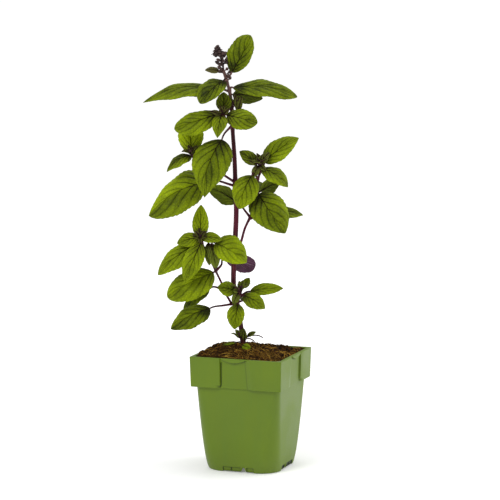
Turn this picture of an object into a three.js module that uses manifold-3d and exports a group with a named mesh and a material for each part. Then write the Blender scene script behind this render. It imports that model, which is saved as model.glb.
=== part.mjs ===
// A potted basil plant: a square nursery pot, its root ball, a branching purple stem with
// toothed leaves in opposite pairs, and a flower spike. Millimetres, +Z up.
// The origin is the centre of the pot's underside; the pot's sides face -Y, +X, +Y and -X.
import * as THREE from 'three';
import { mergeVertices } from 'three/addons/utils/BufferGeometryUtils.js';
import Module from 'manifold-3d';

const wasm = await Module();
wasm.setup();

// ---------------------------------------------------------------- driving dimensions (mm)
const GAP = 0.3;                 // clearance between pieces that touch

const POT_HEIGHT = 132;
const RIM_SIDE = 110;            // across the collar at the rim
const COLLAR_HEIGHT = 34.5;
const COLLAR_TAPER = 54 / 55;    // collar width at its lower edge over its width at the rim
const BODY_HALF_FOOT = 42.8;     // half the body's width on the ground
const BODY_HALF_RIM = 51.6;      // and at the rim
const BODY_CURVE = 0.6;          // how quickly the sides swell above the ground
const CORNER_FOOT = 24;          // corner radius on the ground
const CORNER_RIM = 6;            // and at the rim
const WALL = 1.3;
const FOOT_WALL = 2;             // thickness of the foot ring under the floor
const FLOOR_UNDER = 6.5;         // height of the floor's underside
const FLOOR = 1.7;

const PANEL_CRISP = 36.5;        // width of a corner panel with crisp, slotted ends
const PANEL_SOFT = 42.5;         // width of a corner panel with ends that fade out
const PANEL_STEP = 2.4;          // how far the corner panels stand proud of the middle
const PANEL_SHEET = 1.0;         // thickness of the hanging corner panels
const PANEL_SLOT = 1.15;         // width of the hollow between a panel and the body
const PANEL_TOP = 1.6;           // thickness of the rim over that hollow
const PANEL_OPEN = 2;            // how far the hollow runs past a crisp end, as a slot
const PANEL_CLOSED = 8;          // how far it stops short of a soft end
const PANEL_FADE = 5;            // width over which a soft end fades into the middle
const CORNER_BEVEL = 1.2;        // bevel of the collar's upright corners
const RIM_LAND = 0.7;            // how far the rim's inner edge lies inside the body's face
const LIP_SAG = 4.6;             // depth of the half-moon lip under the rim
const LIP_EDGE = 1.2;            // and at its two ends
const LIP_PROUD = 1.5;

const FOOT_RAISE = 0.9;          // the straight stretches between the feet clear the ground
const FOOT_RAISE_HALF = 17.5;    // half the length of such a stretch
const FOOT_PAD_RADIUS = 9;       // round foot in the middle of the floor
const RECESS_HEIGHT = 5.6;       // shallow windows in the foot ring
const RECESS_DEPTH = 0.4;
const RECESSES = [[-19, -9], [-8, 2], [10.2, 18]];
const NOTCH = { low: [2.8, 9.3], high: [4.8, 7.3], height: 5.2 };
const DRAIN_RADIUS = 4;
const DRAIN_CIRCLE = 24;         // how far the drain holes lie from the middle

const SOIL_LEVEL = 130;
const SOIL_MOUND = 10;           // how much higher the soil lies at the stem
const SOIL_SPREAD = 36;          // how far the mound reaches round the stem
const SOIL_SLOPE = 0.045;        // fall of the soil towards the plant's right
const SOIL_LUMP = 1.4;
const STEM_HOLE = [0.75, 1];     // clearance round the stem at its foot and at the surface

const PLANT_TURN = 19.7;         // degrees that the plant is turned in its pot
const BLADE = 0.75;              // thickness of a leaf blade
const STALK_RADIUS = 0.85;
const STALK_FLARE = 1.25;        // a stalk's thickness at the stem over that at the blade
const STALK_SMALL = 0.75;        // thickness of a small leaf's stalk over a large one's
const STALK_RUN = 2.5;           // straight stretch before the blade
// The main stem's radius at even steps from its foot to its top.
const STEM_RADII = [2.9, 2.7, 2.9, 2.65, 2.2, 1.3];

// ---------------------------------------------------------------- solids and meshes

/** A closed geometry from points and triangles. */
function geometryFrom(points, triangles) {
  const geometry = new THREE.BufferGeometry();
  geometry.setAttribute('position', new THREE.Float32BufferAttribute(points, 3));
  geometry.setIndex(triangles);
  return geometry;
}

/** The same surface with its doubled points merged. */
function welded(geometry) {
  const bare = new THREE.BufferGeometry();
  bare.setAttribute('position', geometry.getAttribute('position').clone());
  if (geometry.index) bare.setIndex(geometry.index.clone());
  return mergeVertices(bare, 1e-4);
}

/** A manifold solid of a closed geometry. */
function solid(geometry) {
  const merged = welded(geometry);
  return new wasm.Manifold(new wasm.Mesh({
    numProp: 3,
    vertProperties: new Float32Array(merged.getAttribute('position').array),
    triVerts: new Uint32Array(merged.index.array),
  }));
}

/** The geometry of a manifold solid. */
function geometryOf(body) {
  const mesh = body.getMesh();
  return geometryFrom(Array.from(mesh.vertProperties), Array.from(mesh.triVerts));
}

/** All the solids of a list, joined. */
function joined(solids) {
  return solids.reduce((whole, next) => whole.add(next));
}

/** A skin over rings that each have the same number of points, with flat ends. */
function loft(rings) {
  const count = rings[0].length;
  const points = rings.flat(2);
  const triangles = [];
  for (let ring = 0; ring < rings.length - 1; ring++) {
    for (let k = 0; k < count; k++) {
      const next = (k + 1) % count;
      const low = ring * count;
      const high = low + count;
      triangles.push(low + k, low + next, high + next, low + k, high + next, high + k);
    }
  }
  const top = (rings.length - 1) * count;
  for (let k = 1; k < count - 1; k++) {
    triangles.push(0, k + 1, k);
    triangles.push(top, top + k, top + k + 1);
  }
  return geometryFrom(points, triangles);
}

/** The value at a share of the way along a list of evenly spaced ones. */
function between(values, share) {
  const place = share * (values.length - 1);
  const before = Math.min(Math.floor(place), values.length - 2);
  return values[before] + (values[before + 1] - values[before]) * (place - before);
}

/** A stalk along a smooth curve, with radii at even steps; squareness 0 is round. */
function stalk(through, radii, sides, steps, squareness = 0) {
  const curve = new THREE.CatmullRomCurve3(through.map((p) => new THREE.Vector3(...p)));
  const frames = curve.computeFrenetFrames(steps, false);
  const rings = [];
  for (let step = 0; step <= steps; step++) {
    const along = step / steps;
    const centre = curve.getPointAt(along);
    const radius = between(radii, along);
    const ring = [];
    for (let k = 0; k < sides; k++) {
      const angle = (2 * Math.PI * k) / sides;
      const reach = radius * (1 + squareness * Math.cos(4 * angle));
      const point = centre.clone()
        .addScaledVector(frames.normals[step], reach * Math.cos(angle))
        .addScaledVector(frames.binormals[step], reach * Math.sin(angle));
      ring.push(point.toArray());
    }
    rings.push(ring);
  }
  return loft(rings);
}

/** An outline in the ground plane, raised from one height to another, widened by its scale. */
function prism(outline, low, high, lowScale = 1, highScale = 1) {
  const ring = (height, scale) => outline.map(([x, y]) => [x * scale, y * scale, height]);
  const shape = new THREE.Shape(outline.map(([x, y]) => new THREE.Vector2(x, y)));
  const flat = THREE.ShapeUtils.triangulateShape(shape.getPoints(), []);
  const count = outline.length;
  const triangles = [];
  for (const [a, b, c] of flat) {
    triangles.push(a, c, b, count + a, count + b, count + c);
  }
  for (let k = 0; k < count; k++) {
    const next = (k + 1) % count;
    triangles.push(k, next, count + next, k, count + next, count + k);
  }
  return solid(geometryFrom([...ring(low, lowScale), ...ring(high, highScale)].flat(), triangles));
}

// ---------------------------------------------------------------- pot

/** A square ring with round corners, as points in the ground plane. */
function roundedSquare(half, radius, arcSteps, sideSteps) {
  const centre = half - radius;
  const points = [];
  for (let corner = 0; corner < 4; corner++) {
    const start = corner * Math.PI / 2;
    const cx = centre * Math.sign(Math.cos(start + Math.PI / 4));
    const cy = centre * Math.sign(Math.sin(start + Math.PI / 4));
    for (let k = 0; k <= arcSteps; k++) {
      const angle = start + (k / arcSteps) * Math.PI / 2;
      points.push([cx + radius * Math.cos(angle), cy + radius * Math.sin(angle)]);
    }
    const [endX, endY] = points.at(-1);
    for (let k = 1; k < sideSteps; k++) {
      const run = (2 * centre * k) / sideSteps;
      points.push([endX - run * Math.cos(start), endY - run * Math.sin(start)]);
    }
  }
  return points;
}

/** The body's half width and corner radius at a height. */
function bodyAt(height) {
  const rise = Math.max(height, 0) / POT_HEIGHT;
  const swell = rise ** BODY_CURVE;
  return {
    half: BODY_HALF_FOOT + (BODY_HALF_RIM - BODY_HALF_FOOT) * swell,
    radius: CORNER_FOOT + (CORNER_RIM - CORNER_FOOT) * swell,
  };
}

/** A ring of the body at a height, drawn in by an inset. */
function bodyRing(height, inset, sideSteps = 1) {
  const { half, radius } = bodyAt(height);
  const ring = roundedSquare(half - inset, radius - inset, 4, sideSteps);
  return ring.map(([x, y]) => [x, y, height]);
}

/** Front and right sides of the collar's outline, then the same turned by half a turn. */
function collarOutline() {
  const rim = RIM_SIDE / 2;
  const middle = rim - PANEL_STEP;
  const crisp = -rim + PANEL_CRISP;
  const soft = rim - PANEL_SOFT;
  const faded = [[0, 0], [0.35, 0.3], [0.7, 0.8], [1, 1]].map(([along, out]) => {
    return [soft + PANEL_FADE * along, -middle - PANEL_STEP * out];
  });
  const front = [
    [-rim + CORNER_BEVEL, -rim], [crisp, -rim], [crisp, -middle], ...faded,
    [rim - CORNER_BEVEL, -rim],
  ];
  const right = front.map(([x, y]) => [-y, -x]).reverse();
  const half = [...front, ...right];
  return [...half, ...half.map(([x, y]) => [-x, -y])];
}

/** The hollow behind a hanging corner panel: its reach is measured from the corner. */
function panelHollow(cornerX, cornerY, reach) {
  const outer = RIM_SIDE / 2 - PANEL_SHEET;
  const inner = outer - PANEL_SLOT;
  const end = RIM_SIDE / 2 - reach;
  const path = [
    [end, outer], [end, inner], [inner, inner], [inner, end], [outer, end], [outer, outer],
  ];
  let outline = path.map(([x, y]) => [cornerX * x, cornerY * y]);
  if (cornerX * cornerY < 0) outline = outline.reverse();
  const low = POT_HEIGHT - COLLAR_HEIGHT;
  return prism(outline, low - 1, POT_HEIGHT - PANEL_TOP, COLLAR_TAPER, 1);
}

/** The half-moon lip that hangs under the rim over a side's middle, on the front side. */
function lip(left, right) {
  const chord = right - left;
  const segments = 8;
  const shape = new THREE.Shape();
  shape.moveTo(left, POT_HEIGHT);
  for (let k = 0; k <= segments; k++) {
    const along = k / segments;
    const sag = LIP_EDGE + (LIP_SAG - LIP_EDGE) * 4 * along * (1 - along);
    shape.lineTo(left + chord * along, POT_HEIGHT - sag);
  }
  shape.lineTo(right, POT_HEIGHT);
  shape.closePath();
  const depth = LIP_PROUD + 1;
  const geometry = new THREE.ExtrudeGeometry(shape, { depth, bevelEnabled: false });
  geometry.rotateX(Math.PI / 2);
  geometry.translate(0, -(RIM_SIDE / 2 - PANEL_STEP) + 1, 0);
  return geometry;
}

// A mirror across the front left corner: it takes the front side to the right one.
const ACROSS_CORNER = new THREE.Matrix4().set(0, -1, 0, 0, -1, 0, 0, 0, 0, 0, 1, 0, 0, 0, 0, 1);

/** A front side's solid on one of the four sides; odd sides are mirrored across a corner. */
function onSide(geometry, side) {
  const copy = welded(geometry);
  if (side % 2 === 1) {
    copy.applyMatrix4(ACROSS_CORNER);
    copy.index.array.reverse();
  }
  if (side > 1) copy.rotateZ(Math.PI);
  return solid(copy);
}

/** The cuts in the foot ring of the front side: recesses, a drain notch and the raised edge. */
function footCuts() {
  const below = 1;
  const cut = (left, right, high, depth) => {
    const thick = 6;
    const geometry = new THREE.BoxGeometry(right - left, thick, high + below);
    const away = depth - BODY_HALF_FOOT - thick / 2;
    geometry.translate((left + right) / 2, away, (high - below) / 2);
    return geometry;
  };
  const { low, high, height } = NOTCH;
  const outline = [[low[0], -below], [low[1], -below], [high[1], height], [high[0], height]];
  const notch = new THREE.Shape(outline.map(([x, z]) => new THREE.Vector2(x, z)));
  const wedge = new THREE.ExtrudeGeometry(notch, { depth: 12, bevelEnabled: false });
  wedge.rotateX(Math.PI / 2);
  wedge.translate(0, -BODY_HALF_FOOT + 5, 0);
  return [
    cut(-FOOT_RAISE_HALF, FOOT_RAISE_HALF, FOOT_RAISE, 6),
    ...RECESSES.map(([left, right]) => cut(left, right, RECESS_HEIGHT, -RECESS_DEPTH)),
    wedge,
  ];
}

/** An upright round pin in the ground plane's middle, from one height to another. */
function pin(radius, low, high, sides) {
  const geometry = new THREE.CylinderGeometry(radius, radius, high - low, sides);
  geometry.rotateX(Math.PI / 2);
  geometry.translate(0, 0, (low + high) / 2);
  return geometry;
}

function pot() {
  const collarLow = POT_HEIGHT - COLLAR_HEIGHT;
  const heights = [0, 4, 12, 26, 44, 70, collarLow, POT_HEIGHT];
  const outer = solid(loft(heights.map((height) => bodyRing(height, 0))));
  const collar = prism(collarOutline(), collarLow, POT_HEIGHT, COLLAR_TAPER, 1);
  const cavityHeights = [FLOOR_UNDER + FLOOR, 16, 26, 44, 70, collarLow];
  const cavityRings = cavityHeights.map((height) => bodyRing(height, WALL));
  cavityRings.push(bodyRing(POT_HEIGHT, RIM_LAND).map(([x, y]) => [x, y, POT_HEIGHT + 1]));
  const cavity = solid(loft(cavityRings));
  const under = solid(loft([-1, 4, FLOOR_UNDER].map((height) => bodyRing(height, FOOT_WALL))));
  let body = outer.add(collar).subtract(cavity).subtract(under);

  for (const end of [-1, 1]) {
    body = body.subtract(panelHollow(end, end, PANEL_CRISP + PANEL_OPEN));
    body = body.subtract(panelHollow(end, -end, PANEL_SOFT - PANEL_CLOSED));
  }
  body = body.add(solid(pin(FOOT_PAD_RADIUS, 0, FLOOR_UNDER + 0.5, 14)));
  const lipShape = lip(-RIM_SIDE / 2 + PANEL_CRISP + 0.4, RIM_SIDE / 2 - PANEL_SOFT + 0.6);
  for (let side = 0; side < 4; side++) {
    body = body.add(onSide(lipShape, side));
    for (const cut of footCuts()) body = body.subtract(onSide(cut, side));
    for (const spread of [-1, 1]) {
      const hole = pin(DRAIN_RADIUS, FLOOR_UNDER - FLOOR, FLOOR_UNDER + 2 * FLOOR, 8);
      const angle = side * Math.PI / 2 + spread * Math.PI / 8;
      hole.translate(DRAIN_CIRCLE * Math.cos(angle), DRAIN_CIRCLE * Math.sin(angle), 0);
      body = body.subtract(solid(hole));
    }
  }
  return geometryOf(body);
}

// ---------------------------------------------------------------- the plant's own frame

// Points of the plant are [across, away, up]: across to the right and away from someone who
// faces the leafy side of the plant, and up from the ground.
const turn = THREE.MathUtils.degToRad(PLANT_TURN);

/** A point of the pot's frame from one of the plant's frame. */
function placed([across, away, up]) {
  const x = across * Math.cos(turn) - away * Math.sin(turn);
  const y = across * Math.sin(turn) + away * Math.cos(turn);
  return [x, y, up];
}

// The main stem from its foot in the root ball to the flower spike.
const STEM = [
  [-9, 6, 98], [-9, 6, 138], [-12, 6, 162], [-15, 6, 180], [-20, 6, 208], [-20, 6, 228],
  [-18, 6, 265], [-17, 6, 292], [-18, 6, 326], [-19, 6, 356], [-21, 6, 386], [-22, 6, 411],
  [-24, 5, 428], [-27, 4, 440], [-30, 3, 450], [-31.5, 3, 456],
];

// Side branches: points from the main stem to the shoot tip, with start and end radius.
const BRANCHES = [
  { name: 'right', radii: [1.4, 1.1],
    path: [
      [-17, 6, 240], [-11, 7, 260], [-7, 8, 274], [-1, 8, 287], [7, 7, 311], [11, 5, 335],
      [13, 4, 344],
    ] },
  { name: 'lower_left', radii: [1.3, 1.0],
    path: [
      [-22, 6, 186], [-28, 3, 197], [-34, 0, 212], [-41, -2, 227], [-48, -5, 243],
      [-57, -9, 260],
    ] },
  { name: 'upper_left', radii: [1.4, 1.0],
    path: [[-19, 6, 327], [-34, 4, 337], [-49, 2, 346], [-64, 1, 354]] },
  { name: 'top_front', radii: [1.4, 1.0],
    path: [[-21, 6, 392], [-26, -2, 396], [-31, -9, 402]] },
  { name: 'low_front', radii: [1.3, 0.9],
    path: [[-16, 6, 184], [-15, 1, 190], [-13, -4, 198]] },
  { name: 'twig_long', radii: [0.8, 0.6],
    path: [[-10, 5, 147], [-4, 4, 149], [3, 4, 150.5], [9, 4, 150], [14, 4, 147.5]] },
  { name: 'twig_short', radii: [0.8, 0.6],
    path: [[-9, 4, 146], [-5, 1, 147.5], [0, -2, 147], [4, -4, 144.5]] },
  { name: 'stub', radii: [1.3, 1.1],
    path: [[-11, 5, 146], [-9, 4, 150], [-7, 4, 154]] },
];

// ---------------------------------------------------------------- leaves

// Each leaf: where its stalk leaves the stem (from), where its blade starts (base) and ends
// (tip), its width, the way its upper face looks (face), how far its middle arches above the
// straight line from base to tip, as a share of its length, and its fold along the rib.
// Some also give the sharpness of their tip (point), the share of the half width that each side
// takes (halves), the roundness of each side's base (full), how far the rib bows to the side, as
// a share of the length (bend), or a point that the stalk passes (via).
const LEAVES = [
  // the four at the top, and the small ones among them
  { name: 'leaf_top_up', from: [-28, 3, 446], base: [-22, 0, 452], tip: [-1.5, -9, 494],
    width: 29, point: 0.6, face: [-0.3, -1, 0.3], arch: 0.05, fold: 0.3, bend: -0.06,
    halves: [0.86, 1.1] },
  { name: 'leaf_top_front', from: [-27, 4, 441], base: [-29, -2, 442.5], tip: [-57.5, -22, 419.5],
    width: 24, point: 0.65, face: [-0.25, -1, 0.75], arch: 0.12, fold: 0.1, halves: [1.15, 0.9] },
  { name: 'leaf_top_left', from: [-24, 5, 430], base: [-40, 7, 433], tip: [-123, 2, 421],
    width: 27, point: 0.95, face: [0, -0.55, 0.85], arch: 0.1, fold: 0.1, halves: [0.86, 1.18] },
  { name: 'leaf_top_right', from: [-24, 5, 430], base: [-15, 5, 433], tip: [54, 0, 427],
    width: 28, point: 0.65, face: [0, -0.65, 0.75], arch: 0.08, fold: 0.2, halves: [1.1, 0.96] },
  { name: 'leaf_top_under', from: [-23, 6, 409], base: [-18, 10, 414], tip: [13, 17, 422],
    width: 16, face: [0.1, 0.95, 0.3], arch: 0.08, fold: 0.2 },
  { name: 'leaf_top_small', from: [-30, 3, 449], base: [-36, 2, 454], tip: [-52, -2, 455],
    width: 8.5, face: [0, -0.9, 0.5], arch: 0.06, fold: 0.2, small: true },
  // the rosette in front of the stem below them
  { name: 'leaf_crown_left', from: [-31, -8, 401], base: [-41, -12, 404], tip: [-87, -14, 390],
    width: 28, point: 0.6, face: [-0.15, -0.85, 0.5], arch: 0.1, fold: 0.15, bend: 0.05,
    halves: [0.95, 1.12] },
  { name: 'leaf_crown_right', from: [-30, -8, 401], base: [-25, -12, 404], tip: [7, -19, 397],
    width: 26, point: 0.65, face: [0.1, -0.9, 0.45], arch: 0.1, fold: 0.1, bend: -0.05 },
  { name: 'leaf_crown_front', from: [-31, -9, 401], base: [-33, -15, 405], tip: [-38, -33, 381],
    width: 18, point: 0.95, face: [-0.1, -1, 0.9], arch: 0.16, fold: 0.15 },
  { name: 'leaf_crown_up', from: [-30, -7, 400], base: [-31, -4, 408], tip: [-31, -1, 430],
    width: 18, face: [0, -1, 0.2], arch: -0.06, fold: 0.25 },
  { name: 'leaf_crown_back', from: [-28, -5, 399], base: [-38, -1, 405], tip: [-62, 24, 398],
    width: 22, face: [-0.2, 0.2, 1], arch: 0.14, fold: 0.15 },
  // the two large ones that hang from the stem below the crown
  { name: 'leaf_hanging_front', from: [-21, 6, 386], base: [-33, -12, 377], tip: [-53, -26, 313],
    width: 43, point: 1.05, face: [-0.12, -1, 0.3], arch: 0.08, fold: 0.12, bend: -0.07,
    halves: [1, 1.06] },
  { name: 'leaf_hanging_back', from: [-21, 7, 390], base: [-16, 16, 396], tip: [-6, 48, 393],
    width: 27, face: [0.1, 0.1, 1], arch: 0.14, fold: 0.15 },
  // the pair at the upper left branch
  { name: 'leaf_branch_large', from: [-19, 6, 323], base: [-51, 1, 326.5], tip: [-117, -10, 292],
    width: 42, point: 0.66, face: [-0.3, -0.85, 0.55], arch: 0.07, fold: 0.2,
    halves: [1.12, 1.05], full: [0.16, 0.7] },
  { name: 'leaf_branch_back', from: [-18, 6, 323], base: [-12, 16, 325], tip: [11, 48, 313],
    width: 30, face: [0.2, 0.3, 1], arch: 0.16, fold: 0.15 },
  { name: 'leaf_side_up', from: [-64, 1, 354], base: [-69, 4, 360], tip: [-72, 11, 401],
    width: 30, point: 0.65, face: [-0.2, -1, 0.15], arch: 0.04, fold: 0.3 },
  { name: 'leaf_side_left', from: [-63, 1, 354], base: [-71, -2, 355.5], tip: [-96, -9, 341],
    width: 20, point: 0.9, face: [-0.3, -0.6, 0.8], arch: 0.12, fold: 0.2, full: [0.5, 0.5] },
  // around the right branch
  { name: 'leaf_dark_middle', from: [-1, 9, 286], base: [-16, 15, 303.5], tip: [-49, 19, 320],
    width: 24, face: [0.3, 0.9, 0.35], arch: 0.06, fold: 0.15, via: [-9, 13, 296] },
  { name: 'leaf_right_up', from: [12, 5, 340], base: [15, 3, 350], tip: [53, -3, 379],
    width: 27, face: [-0.4, -0.85, 0.5], arch: 0.07, fold: 0.25, halves: [1, 1.12],
    full: [0.62, 0.45] },
  { name: 'leaf_right_down', from: [12, 4, 340], base: [12.5, -2, 342.5], tip: [42, -12, 324],
    width: 21, face: [0.25, -0.8, 0.75], arch: 0.14, fold: 0.2, halves: [1.1, 1.12] },
  { name: 'leaf_right_inner', from: [11, 4, 339], base: [7, -1, 349], tip: [-13, -3, 363],
    width: 15, face: [-0.3, -0.9, 0.4], arch: 0.1, fold: 0.2 },
  { name: 'leaf_right_back', from: [12, 6, 339], base: [18, 12, 351], tip: [38, 38, 361],
    width: 20, face: [-0.2, -0.2, 1], arch: 0.12, fold: 0.2 },
  { name: 'leaf_bright_front', from: [10, 5, 330], base: [1, -8, 336], tip: [-14, -18, 299],
    width: 29, face: [-0.1, -1, 0.35], arch: 0.1, fold: 0.12, bend: -0.03 },
  { name: 'leaf_large_right', from: [7, 7, 311], base: [9, -3, 312], tip: [39, -14, 271],
    width: 44, face: [0.1, -1, 0.3], arch: 0.08, fold: 0.12, bend: -0.03, halves: [0.93, 0.97],
    full: [0.38, 0.62] },
  { name: 'leaf_dark_right', from: [7, 7, 312], base: [11, 12, 316], tip: [31, 18, 322],
    width: 16, face: [0.2, 0.9, 0.4], arch: 0.1, fold: 0.15 },
  { name: 'leaf_far_right', from: [-1, 8, 285], base: [18, 13, 290], tip: [60, 16, 289.5],
    width: 26, point: 0.9, face: [0.1, -0.5, 0.85], arch: 0.08, fold: 0.2 },
  // the rosette at the end of the lower left branch
  { name: 'leaf_rosette_up', from: [-57, -8, 258], base: [-58, -6, 269], tip: [-57, -3, 302],
    width: 19, face: [0, -1, 0.15], arch: -0.05, fold: 0.2, full: [0.5, 0.5] },
  { name: 'leaf_rosette_left', from: [-56, -9, 257], base: [-60.5, -13, 264.5], tip: [-84, -18, 260],
    width: 18, face: [-0.1, -0.9, 0.5], arch: 0.1, fold: 0.2 },
  { name: 'leaf_rosette_right', from: [-56, -9, 257], base: [-54.5, -13, 265], tip: [-33, -16, 264],
    width: 14, face: [0.1, -0.9, 0.6], arch: 0.12, fold: 0.2, small: true },
  { name: 'leaf_rosette_long', from: [-55, -8, 255], base: [-62, -9, 256], tip: [-107, -14, 224],
    width: 25, face: [-0.3, -0.85, 0.5], arch: 0.09, fold: 0.2, halves: [1, 1.15] },
  { name: 'leaf_rosette_front', from: [-55, -8, 255], base: [-57, -18, 257], tip: [-75, -29, 217],
    width: 23, face: [0.05, -1, 0.4], arch: 0.12, fold: 0.25 },
  { name: 'leaf_rosette_back', from: [-55, -7, 255], base: [-61, 4, 260], tip: [-78, 30, 250],
    width: 22, face: [-0.2, 0.2, 1], arch: 0.14, fold: 0.15 },
  { name: 'leaf_crossing', from: [-44, -3, 235], base: [-41, -11, 259], tip: [-5, -22, 239],
    width: 29, face: [0.15, -0.9, 0.5], arch: 0.1, fold: 0.15, halves: [1, 1.3],
    via: [-45, -9, 250] },
  { name: 'leaf_purple_back', from: [-40, -1, 226], base: [-32, 14, 236], tip: [5, 25, 230],
    width: 21, point: 0.6, face: [0.1, 0.95, 0.25], arch: 0.1, fold: 0.1, bend: 0.05,
    via: [-36, 7, 228.5] },
  { name: 'leaf_low_large', from: [-40, -2, 226], base: [-43, -8, 225], tip: [-96, -14, 198.5],
    width: 33, point: 0.6, face: [-0.15, -0.85, 0.55], arch: 0.07, fold: 0.15,
    halves: [1.02, 1.25], full: [0.62, 0.5] },
  // the lowest leaves
  { name: 'leaf_low_dark', from: [-31, 2, 203], base: [-48, 13, 203], tip: [-79, 13, 180],
    width: 22, face: [0, -0.5, 0.85], arch: 0.1, fold: 0.15 },
  { name: 'leaf_lowest', from: [-18, 6, 187], base: [-47, -4, 183], tip: [-92, -14, 162],
    width: 27, face: [-0.15, -0.75, 0.65], arch: 0.08, fold: 0.15, halves: [1.05, 1.15],
    via: [-32, -2, 186] },
  { name: 'leaf_low_back', from: [-17, 7, 188], base: [-9, 15, 189], tip: [5, 42, 187],
    width: 20, face: [0.1, 0.1, 1], arch: 0.12, fold: 0.15 },
  { name: 'leaf_shoot_left', from: [-14, -2, 195], base: [-18, -8, 204], tip: [-38, -12, 209],
    width: 18, face: [-0.1, -0.9, 0.4], arch: 0.1, fold: 0.15 },
  { name: 'leaf_shoot_up', from: [-13, -1, 195], base: [-9, 1, 206], tip: [-2, 2, 217.5],
    width: 10, face: [-0.3, -0.9, 0.3], arch: 0.06, fold: 0.25, small: true },
  { name: 'leaf_shoot_right', from: [-13, -3, 196], base: [-1, -3, 202.5], tip: [36.5, -6, 207],
    width: 15, face: [0, -0.9, 0.5], arch: 0.08, fold: 0.2 },
  { name: 'leaf_shoot_down', from: [-14, -3, 195], base: [-9, -12, 199], tip: [16, -18, 185.5],
    width: 20, face: [0.1, -0.9, 0.6], arch: 0.12, fold: 0.15 },
  { name: 'leaf_shoot_front', from: [-14, -3, 195], base: [-15, -10, 189], tip: [-19, -17, 161],
    width: 19, face: [-0.05, -1, 0.35], arch: 0.1, fold: 0.15, halves: [1.15, 1] },
];

const OUTLINE_BASE = 0.62;       // roundness of a leaf's base
const OUTLINE_TIP = 0.8;         // sharpness of its tip
const TOOTH = 0.045;             // depth of the teeth, as a share of the half width
const WAVE = 0.05;               // height of the waves along the edge, likewise
const CURL = 0.32;               // how far the edges bend down, likewise
const BASE_HALF = 0.8;           // half the blade's width where the stalk meets it

/** A leaf's half width at a share of its length, as a share of its greatest. */
function outlineAt(along, baseRoundness, tipSharpness) {
  const widest = baseRoundness / (baseRoundness + tipSharpness);
  const rise = (along / widest) ** baseRoundness;
  return rise * ((1 - along) / (1 - widest)) ** tipSharpness;
}

/** The middle surface of a leaf as rows of points. */
function leafRows(leaf, rows, columns) {
  const base = new THREE.Vector3(...leaf.base);
  const axis = new THREE.Vector3(...leaf.tip).sub(base);
  const length = axis.length();
  const along = axis.clone().normalize();
  const face = new THREE.Vector3(...leaf.face);
  const normal = face.addScaledVector(along, -face.dot(along)).normalize();
  const side = new THREE.Vector3().crossVectors(normal, along);
  const halves = leaf.halves ?? [1, 1];
  const full = leaf.full ?? [OUTLINE_BASE, OUTLINE_BASE];
  const grid = [];
  for (let row = 0; row <= rows; row++) {
    const share = row / rows;
    const bow = 4 * share * (1 - share);
    const toothed = row % 2 === 1 ? 1 + TOOTH : 1 - TOOTH;
    const narrowest = BASE_HALF * (1 - share) + 0.3;
    const line = [];
    for (let column = -columns; column <= columns; column++) {
      const across = column / columns;
      const which = across < 0 ? 0 : 1;
      const outline = outlineAt(share, full[which], leaf.point ?? OUTLINE_TIP);
      const wide = outline * halves[which] * (leaf.width / 2) * toothed;
      const half = Math.max(wide, narrowest);
      const wave = WAVE * Math.sin(5 * Math.PI * share + 1.5 * Math.sign(across)) * across * across;
      const lift = half * (leaf.fold * Math.abs(across) - CURL * across * across + wave);
      line.push(base.clone()
        .addScaledVector(along, share * length)
        .addScaledVector(side, across * half + (leaf.bend ?? 0) * length * bow)
        .addScaledVector(normal, leaf.arch * length * bow + lift));
    }
    grid.push(line);
  }
  return grid;
}

/** A closed blade: the middle surface, thickened along its own normals. */
function blade(leaf, rows, columns) {
  const grid = leafRows(leaf, rows, columns);
  const wide = 2 * columns + 1;
  const top = [];
  const bottom = [];
  for (let row = 0; row <= rows; row++) {
    for (let column = 0; column < wide; column++) {
      const ahead = grid[Math.min(row + 1, rows)][column].clone();
      ahead.sub(grid[Math.max(row - 1, 0)][column]);
      const beside = grid[row][Math.min(column + 1, wide - 1)].clone();
      beside.sub(grid[row][Math.max(column - 1, 0)]);
      const up = ahead.cross(beside).normalize().multiplyScalar(BLADE / 2);
      top.push(placed(grid[row][column].clone().add(up).toArray()));
      bottom.push(placed(grid[row][column].clone().sub(up).toArray()));
    }
  }
  const under = top.length;
  const triangles = [];
  for (let row = 0; row < rows; row++) {
    for (let column = 0; column < wide - 1; column++) {
      const a = row * wide + column;
      const b = a + wide;
      triangles.push(a, b, b + 1, a, b + 1, a + 1);
      triangles.push(under + a, under + b + 1, under + b, under + a, under + a + 1, under + b + 1);
    }
  }
  const rim = [];
  for (let column = 0; column < wide - 1; column++) rim.push(column);
  for (let row = 0; row < rows; row++) rim.push(row * wide + wide - 1);
  for (let column = wide - 1; column > 0; column--) rim.push(rows * wide + column);
  for (let row = rows; row > 0; row--) rim.push(row * wide);
  for (let k = 0; k < rim.length; k++) {
    const a = rim[k];
    const b = rim[(k + 1) % rim.length];
    triangles.push(a, b, under + b, a, under + b, under + a);
  }
  return geometryFrom([...top, ...bottom].flat(), triangles);
}

/** How many rows and columns a leaf of a width gets. */
function leafDetail(leaf) {
  if (leaf.width > 26) return [10, 2];
  if (leaf.width > 14) return [8, 2];
  return [6, 1];
}

// ---------------------------------------------------------------- shoot tips

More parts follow.
